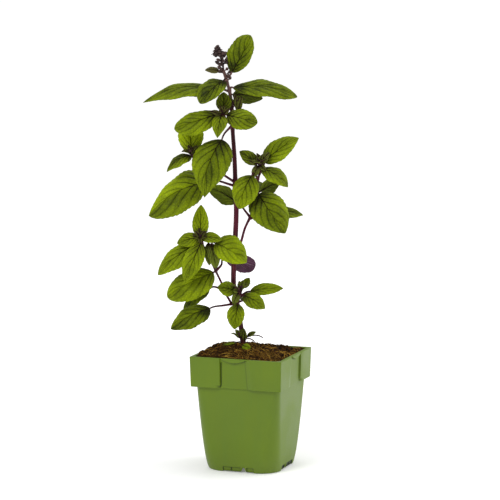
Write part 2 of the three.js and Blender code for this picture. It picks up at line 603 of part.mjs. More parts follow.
// Each shoot tip: where its stalk leaves the branch, its middle, the way it grows, and how
// long its young leaves are.
const SHOOT_TIPS = [
  { name: 'shoot_tip_crown', from: [-30.4, -8.1, 401.2], middle: [-33, -13, 410],
    grows: [-0.3, -0.5, 0.9], reach: 9 },
  { name: 'shoot_tip_left', from: [-63, 1.1, 353.4], middle: [-68, -4, 361],
    grows: [-0.2, -0.6, 0.8], reach: 8 },
  { name: 'shoot_tip_right', from: [12.7, 4.2, 342.8], middle: [11.5, -1, 351],
    grows: [0, -0.6, 0.9], reach: 9 },
  { name: 'shoot_tip_rosette', from: [-56.3, -8.7, 258.8], middle: [-58, -14, 267],
    grows: [0, -0.5, 0.9], reach: 8 },
  { name: 'shoot_tip_inner', from: [-42.5, -2.5, 231], middle: [-45, 1, 240],
    grows: [-0.1, 0.1, 0.9], reach: 16 },
  { name: 'shoot_tip_low', from: [-13.3, -3.4, 197], middle: [-13, -6, 204],
    grows: [0.1, -0.3, 0.9], reach: 9 },
  { name: 'shoot_tip_axil', from: [-22, 6, 409], middle: [-18.5, 3, 416],
    grows: [0.3, -0.3, 0.9], reach: 9 },
  { name: 'shoot_foot', from: [-10, 6, 146], middle: [-14.2, 0.8, 150],
    grows: [-0.2, -0.3, 1], reach: 9 },
];
const TIP_CORE = 1.7;            // radius of the bud in the middle
const TIP_TALL = 1.25;           // its height over its width
const TIP_STALK = 0.9;           // radius of the stalk under it
const YOUNG_INNER = 0.7;         // length of the inner pair over the outer pair's
const YOUNG_OUT = 0.75;          // how far a young leaf leans out, over its length
const YOUNG_UP = 0.7;            // and how far it rises
const YOUNG_WIDTH = 0.6;         // its width over its length
const AWAY = new THREE.Vector3(0.2, 1, 0.1);

/** A point at a distance and an angle round an axis, and further up it. */
function around(middle, axis, angle, outward, onward) {
  const up = new THREE.Vector3(...axis).normalize();
  const first = AWAY.clone().cross(up).normalize();
  const second = new THREE.Vector3().crossVectors(up, first);
  return new THREE.Vector3(...middle)
    .addScaledVector(first, outward * Math.cos(angle))
    .addScaledVector(second, outward * Math.sin(angle))
    .addScaledVector(up, onward);
}

/** The bud of a shoot and two crossed pairs of young leaves round it. */
function shootTip({ middle, grows, reach }) {
  const core = new THREE.IcosahedronGeometry(TIP_CORE, 0);
  core.scale(1, 1, TIP_TALL);
  core.translate(...placed(middle));
  const parts = [solid(core)];
  for (let k = 0; k < 4; k++) {
    const angle = 0.6 + k * Math.PI / 2;
    const long = k % 2 === 0 ? reach : reach * YOUNG_INNER;
    const base = around(middle, grows, angle, TIP_CORE * 0.75, 0.3);
    const tip = around(middle, grows, angle, long * YOUNG_OUT, long * YOUNG_UP);
    const face = around([0, 0, 0], grows, angle, -0.8, 0.6);
    const young = {
      base: base.toArray(), tip: tip.toArray(), face: face.toArray(),
      width: long * YOUNG_WIDTH, arch: 0.06, fold: 0.45,
    };
    parts.push(solid(blade(young, 2, 1)));
  }
  return geometryOf(joined(parts));
}

// ---------------------------------------------------------------- flower spike

// Whorls up the spike: height along it, how many buds, how far they stand out, bud size.
const SPIKE_FOOT = [-31.7, 3, 456.5];
const SPIKE_TOP = [-38.5, 1, 478];
const SPIKE_BEND = 0.8;          // how far its middle bows to the left
const SPIKE_RADII = [1.1, 0.9];
const BUD_LEAN = 0.35;           // how far a bud rises over how far it stands out
const WHORLS = [
  { share: 0.1, buds: 4, out: 5.2, size: 1.4 },
  { share: 0.34, buds: 4, out: 5.6, size: 1.5 },
  { share: 0.56, buds: 4, out: 6.4, size: 1.6 },
  { share: 0.76, buds: 5, out: 4.6, size: 1.9 },
  { share: 0.92, buds: 4, out: 3.2, size: 2 },
  { share: 1.02, buds: 2, out: 1.6, size: 2 },
];

function flowerSpike() {
  const foot = new THREE.Vector3(...SPIKE_FOOT);
  const top = new THREE.Vector3(...SPIKE_TOP);
  const axis = top.clone().sub(foot).normalize().toArray();
  const bend = foot.clone().lerp(top, 0.5).add(new THREE.Vector3(-SPIKE_BEND, 0, 0));
  const path = [foot, bend, top].map((point) => placed(point.toArray()));
  const parts = [solid(stalk(path, SPIKE_RADII, 6, 6))];
  WHORLS.forEach(({ share, buds, out, size }, row) => {
    const middle = foot.clone().lerp(top, share).toArray();
    for (let k = 0; k < buds; k++) {
      const angle = (2 * Math.PI * (k + 0.5 * (row % 2))) / buds;
      const end = around(middle, axis, angle, out, out * BUD_LEAN);
      const heart = around(middle, axis, angle, out / 2, (out * BUD_LEAN) / 2);
      const outward = new THREE.Vector3(...placed(end.clone().sub(heart).toArray())).normalize();
      const bud = new THREE.IcosahedronGeometry(size, 0);
      bud.scale(1, (0.5 * out + 0.6 * size) / size, 1);
      const lean = new THREE.Quaternion().setFromUnitVectors(new THREE.Vector3(0, 1, 0), outward);
      bud.applyQuaternion(lean);
      bud.translate(...placed(heart.toArray()));
      parts.push(solid(bud));
    }
  });
  return geometryOf(joined(parts));
}

// ---------------------------------------------------------------- stem

/** The stem, its branches and all leaf stalks, grown together. */
function mainStem() {
  const parts = [
    solid(stalk(STEM.map(placed), STEM_RADII, 8, 24, 0.08)),
  ];
  for (const { path, radii } of BRANCHES) {
    parts.push(solid(stalk(path.map(placed), radii, 6, path.length)));
  }
  for (const leaf of LEAVES) {
    const base = new THREE.Vector3(...leaf.base);
    const inward = new THREE.Vector3(...leaf.tip).sub(base).normalize();
    const end = base.clone().addScaledVector(inward, -GAP);
    const before = base.clone().addScaledVector(inward, -STALK_RUN);
    const path = [leaf.from, leaf.via, before.toArray(), end.toArray()].filter(Boolean);
    const radius = (leaf.small ? STALK_SMALL : 1) * STALK_RADIUS;
    const steps = leaf.via ? 3 : 2;
    parts.push(solid(stalk(path.map(placed), [STALK_FLARE * radius, radius], 4, steps)));
  }
  for (const { from, middle } of SHOOT_TIPS) {
    const start = new THREE.Vector3(...from);
    const bud = new THREE.Vector3(...middle);
    const inward = start.clone().sub(bud).normalize();
    const end = bud.addScaledVector(inward, TIP_CORE * TIP_TALL + GAP).toArray();
    parts.push(solid(stalk([from, end].map(placed), [TIP_STALK, TIP_STALK], 4, 1)));
  }
  return geometryOf(joined(parts));
}

// ---------------------------------------------------------------- soil

/** A number from 0 to 1 that looks random and is the same in every run. */
function scatter(seed) {
  const value = Math.sin(seed * 127.1 + 31.7) * 43758.5453;
  return value - Math.floor(value);
}

/** The height of the soil at a point of the pot's frame. */
function soilHeight(x, y) {
  const [stemX, stemY] = placed(STEM[0]);
  const distance = Math.hypot(x - stemX, y - stemY);
  const lumps = Math.sin(x * 0.31 + 1) * Math.cos(y * 0.27) + Math.sin(x * 0.13 - y * 0.19 + 2);
  const across = x * Math.cos(turn) + y * Math.sin(turn);
  const mound = SOIL_MOUND * Math.exp(-((distance / SOIL_SPREAD) ** 2));
  return SOIL_LEVEL - SOIL_SLOPE * across + mound + SOIL_LUMP * 0.5 * lumps;
}

/** The root ball: it fills the pot, is mounded at the top and has the stem's hole. */
function pottingSoil() {
  const inset = WALL + GAP;
  const sideSteps = 2;
  const heights = [FLOOR_UNDER + FLOOR + GAP, 16, 30, 50, 75, POT_HEIGHT - COLLAR_HEIGHT];
  const rings = heights.map((height) => bodyRing(height, inset, sideSteps));
  const rim = bodyRing(POT_HEIGHT - 4, inset, sideSteps);
  const shares = [1, 0.88, 0.74, 0.6, 0.46, 0.32, 0.2];
  for (const share of shares) {
    rings.push(rim.map(([x, y], k) => {
      const sway = share < 1 ? 1 + 0.06 * (scatter(k + 50 * share) - 0.5) : 1;
      const px = x * share * sway;
      const py = y * share * sway;
      return [px, py, soilHeight(px, py) + (scatter(7 * k + 90 * share) - 0.5) * SOIL_LUMP];
    }));
  }
  const [stemX, stemY, stemFoot] = placed(STEM[0]);
  const [low, high] = STEM_HOLE.map((clear) => STEM_RADII[0] + clear);
  const depth = SOIL_LEVEL + 2 * SOIL_MOUND - stemFoot;
  const hole = new THREE.CylinderGeometry(high, low, depth, 14);
  hole.rotateX(Math.PI / 2);
  hole.translate(stemX, stemY, stemFoot - GAP + depth / 2);
  return geometryOf(solid(loft(rings)).subtract(solid(hole)));
}

// ---------------------------------------------------------------- fallen leaves

// Each fallen leaf: its middle, its size, how it is turned, and how high its ends lie above
// the smooth mound, so that it rests on the lumps.
const FALLEN = [
  { name: 'fallen_leaf_left', middle: [-25, 1], long: 15, width: 6.5, turnBy: 8, lift: 0.4 },
  { name: 'fallen_leaf_front', middle: [-4, -14], long: 9, width: 7.5, turnBy: -25, lift: 1.3 },
];

/** A small leaf that lies on the soil and follows its slope. */
function fallenLeaf({ middle, long, width, turnBy, lift }) {
  const angle = THREE.MathUtils.degToRad(turnBy);
  const ends = [-0.5, 0.5].map((share) => {
    const across = middle[0] + share * long * Math.cos(angle);
    const away = middle[1] + share * long * Math.sin(angle);
    const [x, y] = placed([across, away, 0]);
    return [across, away, soilHeight(x, y) + lift];
  });
  return { base: ends[0], tip: ends[1], width, face: [0, -0.25, 1], arch: 0.02, fold: 0.1 };
}

// ---------------------------------------------------------------- the whole plant

function material(color, roughness) {
  return new THREE.MeshStandardMaterial({ color, roughness, metalness: 0 });
}
const POT_GREEN = material(0x688a33, 0.5);
const SOIL_BROWN = material(0x3d2716, 0.95);
const STEM_PURPLE = material(0x4a2230, 0.6);
const LEAF_GREEN = material(0x5f8a1c, 0.55);
const YOUNG_LEAF = material(0x5a5a2a, 0.55);
const SPIKE_BROWN = material(0x3a2a2a, 0.7);

const group = new THREE.Group();

function addPiece(name, geometry, finish) {
  geometry.computeVertexNormals();
  const mesh = new THREE.Mesh(geometry, finish);
  mesh.name = name;
  group.add(mesh);
}

addPiece('pot', pot(), POT_GREEN);
addPiece('potting_soil', pottingSoil(), SOIL_BROWN);
addPiece('main_stem', mainStem(), STEM_PURPLE);
addPiece('flower_spike', flowerSpike(), SPIKE_BROWN);
for (const leaf of LEAVES) addPiece(leaf.name, blade(leaf, ...leafDetail(leaf)), LEAF_GREEN);
for (const tip of SHOOT_TIPS) addPiece(tip.name, shootTip(tip), YOUNG_LEAF);
for (const fallen of FALLEN) addPiece(fallen.name, blade(fallenLeaf(fallen), 6, 1), LEAF_GREEN);

export default group;
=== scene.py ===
# %% [markdown]
# # A potted basil plant
#
# This lesson dresses the fixed frame of a basil plant: a square nursery pot, its root ball, a
# branching purple stem with toothed leaves, young shoot tips and a flower spike. The frame
# already says where every piece is. Here each piece gets its fine form and its finish.
#
# A plant is all curved skins, so every new piece is a surface worked out with numpy: rows of
# points, computed as whole arrays and then handed to Blender at once.

# %% Load the frame
import math

import bpy
import numpy as np
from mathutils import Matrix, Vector


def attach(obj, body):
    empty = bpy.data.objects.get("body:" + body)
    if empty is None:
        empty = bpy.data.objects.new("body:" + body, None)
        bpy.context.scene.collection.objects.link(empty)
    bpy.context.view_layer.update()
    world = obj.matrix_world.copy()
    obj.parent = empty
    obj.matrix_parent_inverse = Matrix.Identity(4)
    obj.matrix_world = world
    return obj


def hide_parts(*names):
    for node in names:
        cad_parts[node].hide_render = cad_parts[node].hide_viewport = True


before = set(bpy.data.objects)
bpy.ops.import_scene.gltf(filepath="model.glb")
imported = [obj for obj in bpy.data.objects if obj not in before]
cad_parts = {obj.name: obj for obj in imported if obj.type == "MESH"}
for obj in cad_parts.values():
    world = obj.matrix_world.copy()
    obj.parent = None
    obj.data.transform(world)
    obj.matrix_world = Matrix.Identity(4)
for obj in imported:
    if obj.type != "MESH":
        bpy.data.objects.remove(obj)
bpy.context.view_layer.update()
print("frame nodes:", len(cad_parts))

# %% [markdown]
# ## Camera, light and floor
#
# The plant stands in a bright white studio. The camera is far away with a long lens, so the pot's
# upright edges hardly converge, and it looks down a little. A single sun lamp would give hard
# shadows on the leaves; large area lamps and a pale sky give the soft ones of a light tent. The
# right side of the pot is the paler one, so a broad lamp stands on that side.

# %% The plant's own frame
MM = 0.001
PLANT_TURN = math.radians(19.7)     # how far the plant is turned in its pot


def placed(points):
    """Turns points of the plant's frame in mm, [across, away, up], into the pot's in metres.

    The plant's frame is the pot's frame turned about the upright axis by PLANT_TURN.
    """
    across, away, up = np.moveaxis(np.asarray(points, float), -1, 0)
    x = across * math.cos(PLANT_TURN) - away * math.sin(PLANT_TURN)
    y = across * math.sin(PLANT_TURN) + away * math.cos(PLANT_TURN)
    return np.stack([x, y, up], axis=-1) * MM


def put(name, data):
    """Makes an object of a mesh, lamp or camera and puts it into the scene."""
    made = bpy.data.objects.new(name, data)
    bpy.context.scene.collection.objects.link(made)
    return made


# %% Camera
CAMERA_AWAY = 2600                  # mm from the pot's axis
CAMERA_UP = 582
LOOK_AT_UP = 249.7                  # height of the point in the middle of the picture
LOOK_AT_ACROSS = -1.3
LENS = 165.4                        # mm, on a sensor of 36 mm
SENSOR = 36
FAR_CLIP = 100                      # m; the floor runs on beyond the plant

camera = put("camera", bpy.data.cameras.new("camera"))
stand = Vector(placed([LOOK_AT_ACROSS, -CAMERA_AWAY, CAMERA_UP]))
target = Vector(placed([LOOK_AT_ACROSS, 0, LOOK_AT_UP]))
camera.location = stand
camera.rotation_euler = (target - stand).to_track_quat("-Z", "Y").to_euler()
camera.data.lens = LENS
camera.data.sensor_width = SENSOR
camera.data.clip_end = FAR_CLIP
bpy.context.scene.camera = camera
print("camera stands", round((target - stand).length, 3), "m away")

# %% Lamps and sky
LAMPS = [
    # name, place in the plant's frame (mm), side of the square lamp (m), watts
    ("key_lamp", [-1100, -1500, 1900], 1.0, 27),
    ("side_lamp", [1700, 300, 900], 1.4, 18),
    ("top_lamp", [200, 300, 2200], 1.2, 16),
]
SKY_STRENGTH = 0.52
for name, place, side, watts in LAMPS:
    lamp = put(name, bpy.data.lights.new(name, "AREA"))
    lamp.location = Vector(placed(place))
    aim = target - lamp.location
    lamp.rotation_euler = aim.to_track_quat("-Z", "Y").to_euler()
    lamp.data.size = side
    lamp.data.energy = watts

sky = bpy.data.worlds.new("studio_white")
sky.use_nodes = True
background = sky.node_tree.nodes["Background"].inputs
background["Color"].default_value = (1.0, 1.0, 1.0, 1.0)
background["Strength"].default_value = SKY_STRENGTH
bpy.context.scene.world = sky
bpy.context.scene.view_settings.view_transform = "Standard"
print("lamps:", len(LAMPS))

# %% [markdown]
# ## Skins made of rows
#
# Stems, buds, the pot and the root ball are all closed skins: rings of points one after another,
# with a pole at each end. A leaf is two sheets, its upper and its lower face, joined along the
# rim. The helpers below turn such rows into faces. They always list a face's corners in the order
# that makes it look outwards.

# %% From rows of points to faces
def ring_faces(rows, count):
    """Faces of a skin of closed rings, numbered ring by ring, then the two poles.

    Ring i, point j has the number i * count + j, and the poles follow after all the rings.
    Returns four-cornered faces between the rings and three-cornered ones round the poles.
    """
    ring, point = np.meshgrid(np.arange(rows - 1), np.arange(count), indexing="ij")
    after = (point + 1) % count
    low, high = ring * count, (ring + 1) * count
    quads = np.stack([low + point, low + after, high + after, high + point], axis=-1)
    here = np.arange(count)
    there = (here + 1) % count
    first, last = rows * count, rows * count + 1
    top = (rows - 1) * count
    start = np.stack([np.full(count, first), there, here], axis=-1)
    end = np.stack([np.full(count, last), top + here, top + there], axis=-1)
    return quads.reshape(-1, 4), np.concatenate([start, end])


def sheet_faces(rows, count):
    """Faces of a thin blade: an upper sheet, a lower one with as many points, and the rim."""
    row, point = np.meshgrid(np.arange(rows - 1), np.arange(count - 1), indexing="ij")
    here = row * count + point
    upper = np.stack([here, here + count, here + count + 1, here + 1], axis=-1).reshape(-1, 4)
    under = rows * count
    lower = upper[:, ::-1] + under
    side = np.arange(count)
    length = np.arange(rows) * count
    round_rim = np.concatenate([
        side[:-1], length[:-1] + count - 1, length[-1] + side[:0:-1], length[:0:-1],
    ])
    after = np.roll(round_rim, -1)
    rim = np.stack([round_rim, after, after + under, round_rim + under], axis=-1)
    return np.concatenate([upper, lower, rim])


# %% A skin that becomes a piece
class Skin:
    """Gathers the closed skins of one piece, with a value per point for each attribute."""

    def __init__(self):
        self.points, self.quads, self.tris, self.values, self.count = [], [], [], {}, 0

    def add(self, points, quads, tris=(), **values):
        """Adds one skin; each value is one number or one for every point."""
        points = np.reshape(points, (-1, 3))
        self.quads.append(np.reshape(quads, (-1, 4)).astype(int) + self.count)
        self.tris.append(np.reshape(tris, (-1, 3)).astype(int) + self.count)
        self.points.append(points)
        for key, value in values.items():
            spread = np.broadcast_to(np.ravel(value), len(points))
            self.values.setdefault(key, []).append(spread)
        self.count += len(points)

    def add_rings(self, rings, **values):
        """Adds closed rings (rows, count, 3), with a pole in the middle of each end ring."""
        rows, count = rings.shape[:2]
        poles = np.stack([rings[0].mean(axis=0), rings[-1].mean(axis=0)])
        full = {}
        for key, value in values.items():
            value = np.broadcast_to(value, (rows, count))
            full[key] = np.concatenate([value.ravel(), [value[0].mean(), value[-1].mean()]])
        self.add(np.concatenate([rings.reshape(-1, 3), poles]), *ring_faces(rows, count), **full)

    def piece(self, name, material, slot, *nodes):
        """Makes the Blender object in metres, on the one body, in place of the frame's nodes."""
        points, quads = np.concatenate(self.points), np.concatenate(self.quads)
        tris = np.concatenate(self.tris)
        corners = np.concatenate([quads.ravel(), tris.ravel()]).astype(np.int32)
        sizes = np.repeat([4, 3], [len(quads), len(tris)])
        mesh = bpy.data.meshes.new(name)
        mesh.vertices.add(len(points))
        mesh.vertices.foreach_set("co", points.astype(np.float32).ravel())
        mesh.loops.add(len(corners))
        mesh.loops.foreach_set("vertex_index", corners)
        mesh.polygons.add(len(sizes))
        starts = np.concatenate([[0], np.cumsum(sizes)[:-1]]).astype(np.int32)
        mesh.polygons.foreach_set("loop_start", starts)
        mesh.update(calc_edges=True)
        mesh.validate()
        mesh.shade_smooth()
        for key, parts in self.values.items():
            data = np.concatenate(parts).astype(np.float32)
            mesh.attributes.new(key, "FLOAT", "POINT").data.foreach_set("value", data)
        mesh.materials.append(material)
        piece = put(name, mesh)
        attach(piece, "root")
        if nodes:
            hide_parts(*nodes)
        return piece


# %% Smooth paths and tubes
FINE_STEPS = 12                     # points of the curve for each point it goes through


def smooth_path(through, steps):
    """A smooth curve through the points, as steps + 1 points evenly spaced along it.

    Between two neighbours it is a cubic whose slope at each point is the line between the
    points on either side of it, shared out by the distances to them.
    """
    through = np.asarray(through, float)
    gaps = np.linalg.norm(np.diff(through, axis=0), axis=1)
    marks = np.concatenate([[0], np.cumsum(gaps)])
    slopes = np.gradient(through, marks, axis=0)
    fine = np.linspace(0, marks[-1], FINE_STEPS * len(through))
    at = np.clip(np.searchsorted(marks, fine, side="right") - 1, 0, len(gaps) - 1)
    span = gaps[at][:, None]
    share = (fine - marks[at])[:, None] / span
    start, end = through[at], through[at + 1]
    rise = share * share * (3 - 2 * share)
    pull = share * (1 - share) ** 2 * slopes[at] - share ** 2 * (1 - share) * slopes[at + 1]
    curve = start + (end - start) * rise + pull * span
    run = np.concatenate([[0], np.cumsum(np.linalg.norm(np.diff(curve, axis=0), axis=1))])
    even = np.linspace(0, run[-1], steps + 1)
    return np.stack([np.interp(even, run, curve[:, k]) for k in range(3)], axis=-1)


def unit(vectors):
    """The vectors drawn to length 1."""
    return vectors / np.linalg.norm(vectors, axis=-1, keepdims=True)


def tube(path, radii, sides, lobes=0.0, reference=(0.25, 1.0, 0.1)):
    """Rings round a path: path + radius * (cos angle * side + sin angle * up).

    The side is square to the path and to the reference, the up to both, and the radius swells
    by lobes * cos(4 * angle), which makes a stem square with soft corners.
    """
    ahead = unit(np.gradient(path, axis=0))
    side = unit(np.cross(np.asarray(reference, float), ahead))
    up = np.cross(ahead, side)
    angle = np.linspace(0, 2 * np.pi, sides, endpoint=False)[None, :, None]
    reach = np.broadcast_to(radii, len(path))[:, None, None] * (1 + lobes * np.cos(4 * angle))
    ring = np.cos(angle) * side[:, None] + np.sin(angle) * up[:, None]
    return path[:, None] + reach * ring


# %% Seeded chance
rng = np.random.default_rng(7)
NOISE_TABLE = 64                    # the noise repeats after so many steps


def value_noise(x, y, seed):
    """A smooth random height for each (x, y), from -1 to 1.

    Every whole number pair has a random height, and points between blend the four round them.
    """
    table = np.random.default_rng(seed).uniform(-1, 1, (NOISE_TABLE, NOISE_TABLE))
    column, row = np.floor(x).astype(int), np.floor(y).astype(int)
    u, v = x - column, y - row
    u, v = u * u * (3 - 2 * u), v * v * (3 - 2 * v)
    here, after = column % NOISE_TABLE, (column + 1) % NOISE_TABLE
    near, far = row % NOISE_TABLE, (row + 1) % NOISE_TABLE
    low = table[here, near] * (1 - u) + table[after, near] * u
    high = table[here, far] * (1 - u) + table[after, far] * u
    return low * (1 - v) + high * v


# %% [markdown]
# ## A small kitchen for materials
#
# Each finish below is a recipe of nodes. A helper adds a node and wires its inputs in one line,
# so that a recipe reads from top to bottom. The mottle that makes leaves, plastic and soil look
# less like paint is the same idea at different scales, so it is built once, as a node group.

# %% A helper that adds nodes and wires them
def hex_colour(code):
    """The linear colour of a six-digit web colour, as red, green, blue and full alpha."""
    parts = np.array([int(code[k:k + 2], 16) for k in (0, 2, 4)]) / 255
    linear = np.where(parts <= 0.04045, parts / 12.92, ((parts + 0.055) / 1.055) ** 2.4)
    return (*linear.tolist(), 1.0)


class Recipe:
    """Adds nodes to a node tree; an input may be a number, a web colour or a node's output."""

    def __init__(self, tree):
        self.tree = tree

    def feed(self, value, socket):
        """Wires a node's output into a socket, or sets the socket's own number or colour."""
        if isinstance(value, bpy.types.NodeSocket):
            self.tree.links.new(value, socket)
        else:
            socket.default_value = hex_colour(value) if isinstance(value, str) else value

    def node(self, kind, inputs=None, **settings):
        """Adds one node with its settings, and feeds its inputs."""
        made = self.tree.nodes.new(kind)
        for key, value in settings.items():
            setattr(made, key, value)
        for key, value in (inputs or {}).items():
            self.feed(value, made.inputs[key])
        return made

    def math(self, operation, first, second=0.0, third=0.0, clamp=False):
        """What one math node makes of up to three values."""
        inputs = {0: first, 1: second, 2: third}
        return self.node("ShaderNodeMath", inputs, operation=operation, use_clamp=clamp).outputs[0]

    def times(self, first, second):
        """The product of two values."""
        return self.math("MULTIPLY", first, second)

    def blend(self, share, first, second):
        """A colour between two, by a share from 0 to 1."""
        mix = self.node("ShaderNodeMix", data_type="RGBA")
        inputs = {"Factor_Float": share, "A_Color": first, "B_Color": second}
        for socket in mix.inputs:
            if socket.identifier in inputs:
                self.feed(inputs[socket.identifier], socket)
        return next(s for s in mix.outputs if s.identifier == "Result_Color")

    def attribute(self, name):
        """The number that the piece's mesh carries at each point under this name."""
        return self.node("ShaderNodeAttribute", attribute_name=name).outputs["Fac"]

    def place(self):
        """Where a point of the piece is, in metres."""
        return self.node("ShaderNodeTexCoord").outputs["Object"]

    def up(self):
        """How high a point of the piece is, in metres."""
        return self.node("ShaderNodeSeparateXYZ", {"Vector": self.place()}).outputs["Z"]

    def between(self, value, low, high, to_low=0.0, to_high=1.0):
        """The value's place between low and high, carried over to another range, softly."""
        inputs = {"Value": value, "From Min": low, "From Max": high,
                  "To Min": to_low, "To Max": to_high}
        made = self.node("ShaderNodeMapRange", inputs, interpolation_type="SMOOTHSTEP")
        return made.outputs["Result"]

    def streaks(self, squash, scale, detail):
        """Noise that is squashed upwards, which draws it out into upright streaks."""
        inputs = {"Vector": self.place(), "Scale": (1.0, 1.0, squash)}
        drawn = self.node("ShaderNodeMapping", inputs).outputs["Vector"]
        inputs = {"Vector": drawn, "Scale": scale, "Detail": detail}
        return self.node("ShaderNodeTexNoise", inputs).outputs["Fac"]

    def finish(self, colour, rough, gloss, height=None, strength=0.0, distance=0.0):
        """Feeds the material's shader; the bump's distance is in metres."""
        shader = self.tree.nodes["Principled BSDF"].inputs
        self.feed(colour, shader["Base Color"])
        self.feed(rough, shader["Roughness"])
        shader["Specular IOR Level"].default_value = gloss
        if height is not None:
            inputs = {"Height": height, "Strength": strength, "Distance": distance}
            self.feed(self.node("ShaderNodeBump", inputs).outputs["Normal"], shader["Normal"])


# %% New groups and materials
def new_group(name, inputs, outputs):
    """A node group with named sockets; returns its recipe and its own two end nodes."""
    group = bpy.data.node_groups.new(name, "ShaderNodeTree")
    for socket, kind, start in inputs:
        made = group.interface.new_socket(socket, in_out="INPUT", socket_type=kind)
        made.default_value = start
    for socket, kind in outputs:
        group.interface.new_socket(socket, in_out="OUTPUT", socket_type=kind)
    recipe = Recipe(group)
    return recipe, recipe.node("NodeGroupInput").outputs, recipe.node("NodeGroupOutput").inputs


def new_material(name):
    """A material with an unfed shader, and its recipe."""
    material = bpy.data.materials.new(name)
    material.use_nodes = True
    return material, Recipe(material.node_tree)


# %% The shared mottle
GRAIN_FINER = 9.0                   # the grain's scale over the mottle's

recipe, given, out = new_group(
    "soft_mottle",
    [("Scale", "NodeSocketFloat", 100.0), ("Sharpness", "NodeSocketFloat", 0.5)],
    [("Mottle", "NodeSocketFloat"), ("Grain", "NodeSocketFloat")])
place = recipe.place()
broad = recipe.node("ShaderNodeTexNoise", {"Vector": place, "Scale": given["Scale"],
                                           "Detail": 3.0, "Roughness": given["Sharpness"]})
fine = recipe.node("ShaderNodeTexNoise", {
    "Vector": place, "Scale": recipe.times(given["Scale"], GRAIN_FINER), "Detail": 2.0})
recipe.feed(recipe.between(broad.outputs["Fac"], 0.3, 0.7), out["Mottle"])
recipe.feed(fine.outputs["Fac"], out["Grain"])
mottle_group = recipe.tree


def add_mottle(recipe, scale, sharpness=0.5):
    """Places the mottle group in a node tree; returns its Mottle and Grain outputs."""
    inputs = {"Scale": scale, "Sharpness": sharpness}
    made = recipe.node("ShaderNodeGroup", inputs, node_tree=mottle_group).outputs
    return made["Mottle"], made["Grain"]


print("groups:", [group.name for group in bpy.data.node_groups])

# %% [markdown]
# ## The pot
#
# Nursery pots are moulded from thin polypropylene: one skin that runs from the middle of the
# underside, over the foot ring, up the tapering body, round the hanging collar, over the rim,
# down the inside and back to the middle of the floor. So the pot is one skin of closed rings. The
# collar's panels, slots and lips and the windows and notches of the foot are changes to those
# rings that depend on where a point is along its side. Only the drain holes are cut afterwards.

# %% The pot's sizes (mm)
POT_HEIGHT = 132
RIM_HALF = 55
COLLAR_LOW = 97.5
COLLAR_TAPER = 54 / 55
BODY_HALF = (42.8, 51.6)            # on the ground and at the rim
BODY_CORNER = (24, 6)
BODY_CURVE = 0.6
WALL = 1.3
FOOT_WALL = 2.0
FLOOR_UNDER = 6.5
FLOOR_TOP = 8.2
PANEL_STEP = 2.4                    # how far the corner panels stand proud
PANEL_SHEET = 1.0
CRISP_END = -18.5                   # where the crisp panel ends along its side
PANEL_CORNER = 4.5
SLOT_WIDE = 1.2
SLOT_DEEP = 0.8
SOFT_START = (14.0, 11.2)           # where the soft panel starts to rise, low and high
SOFT_RISE = 6.2
LIP_DEEP = 4.8
LIP_PROUD = 2.3
FOOT_WINDOWS = ((-18.2, -9), (-8, 2), (10.2, 18))
WINDOW_TALL = 5.5
WINDOW_DEEP = 0.9
WINDOW_FADE = 6.3                   # height at which the foot's changes have faded out
PAD_RADIUS = 9                      # the round foot in the middle of the underside
DRAINS = 8
DRAIN_RADIUS = 4
DRAIN_CIRCLE = 24
FOOT_MARKS = (-19, -17.5, 2.8, 4.8, 7.3, 9.3, 17.5, 19)
FOOT_HEIGHTS = (0, 0.9, 0.9, 5.2, 5.2, 0.9, 0.9, 0)

# %% How the collar bends its rings
def smooth_step(low, high, value):
    """0 below low, 1 above high, and a soft rise between them."""
    share = np.clip((value - low) / (high - low), 0, 1)
    return share * share * (3 - 2 * share)


def rises_at(mark, soft, value):
    """0 before a mark and 1 past it, with a soft rise that reaches so far to both sides."""
    return smooth_step(mark - soft, mark + soft, value)


def crisp_end(height):
    """Where the crisp panel ends: a straight edge with a round lower corner."""
    lower = np.clip(PANEL_CORNER - (height - COLLAR_LOW), 0, PANEL_CORNER)
    return CRISP_END - (PANEL_CORNER - np.sqrt(PANEL_CORNER ** 2 - lower ** 2))


def soft_start(height):
    """Where the soft panel starts: a line that leans towards the crisp one."""
    return np.interp(height, (COLLAR_LOW, POT_HEIGHT), SOFT_START)


def panel_at(along, height):
    """1 on the corner panels and 0 on the recessed middle; the soft panel rises as a ramp."""
    end = crisp_end(height)
    crisp = 1 - rises_at(end, 0.25, along)
    return np.maximum(crisp, np.clip((along - soft_start(height)) / SOFT_RISE, 0, 1))


def slot_at(along, height):
    """1 in the slot beside the crisp panel, up to the lip."""
    middle = crisp_end(height) + 0.4 + SLOT_WIDE / 2
    inside = 1 - rises_at(SLOT_WIDE / 2, 0.25, np.abs(along - middle))
    return inside * (1 - smooth_step(POT_HEIGHT - 5.5, POT_HEIGHT - 4, height))


def lip_edge(along):
    """Height of the lip's lower edge, a parabola over its chord, and how much lip there is."""
    left, right = CRISP_END + SLOT_WIDE + 0.6, soft_start(POT_HEIGHT) + 1.5
    share = np.clip((along - left) / (right - left), 0, 1)
    deep = 1.0 + (LIP_DEEP - 1.0) * 4 * share * (1 - share)
    ends = rises_at(left, 0.3, along) * (1 - rises_at(right, 1, along))
    return POT_HEIGHT - deep, ends


def lip_at(along, height):
    """1 on the half-moon lip under the rim."""
    edge, ends = lip_edge(along)
    return ends * rises_at(0, 0.25, height - edge)


def collar_crease(along, height):
    """Painted shade for the narrow places of the collar: the slot, under the lip, beside the ramp.
    """
    edge, ends = lip_edge(along)
    under_lip = ends * np.exp(-((height - edge + 0.45) / 0.4) ** 2)
    beside = 0.4 * np.exp(-((along - soft_start(height)) / 0.5) ** 2) * (height < edge)
    return np.maximum(np.maximum(0.9 * slot_at(along, height), 0.8 * under_lip), beside)


# %% How the foot bends its rings
def foot_at(along):
    """Height of the foot's lower edge: raised between the feet, with one drain notch."""
    return np.interp(along, FOOT_MARKS, FOOT_HEIGHTS)


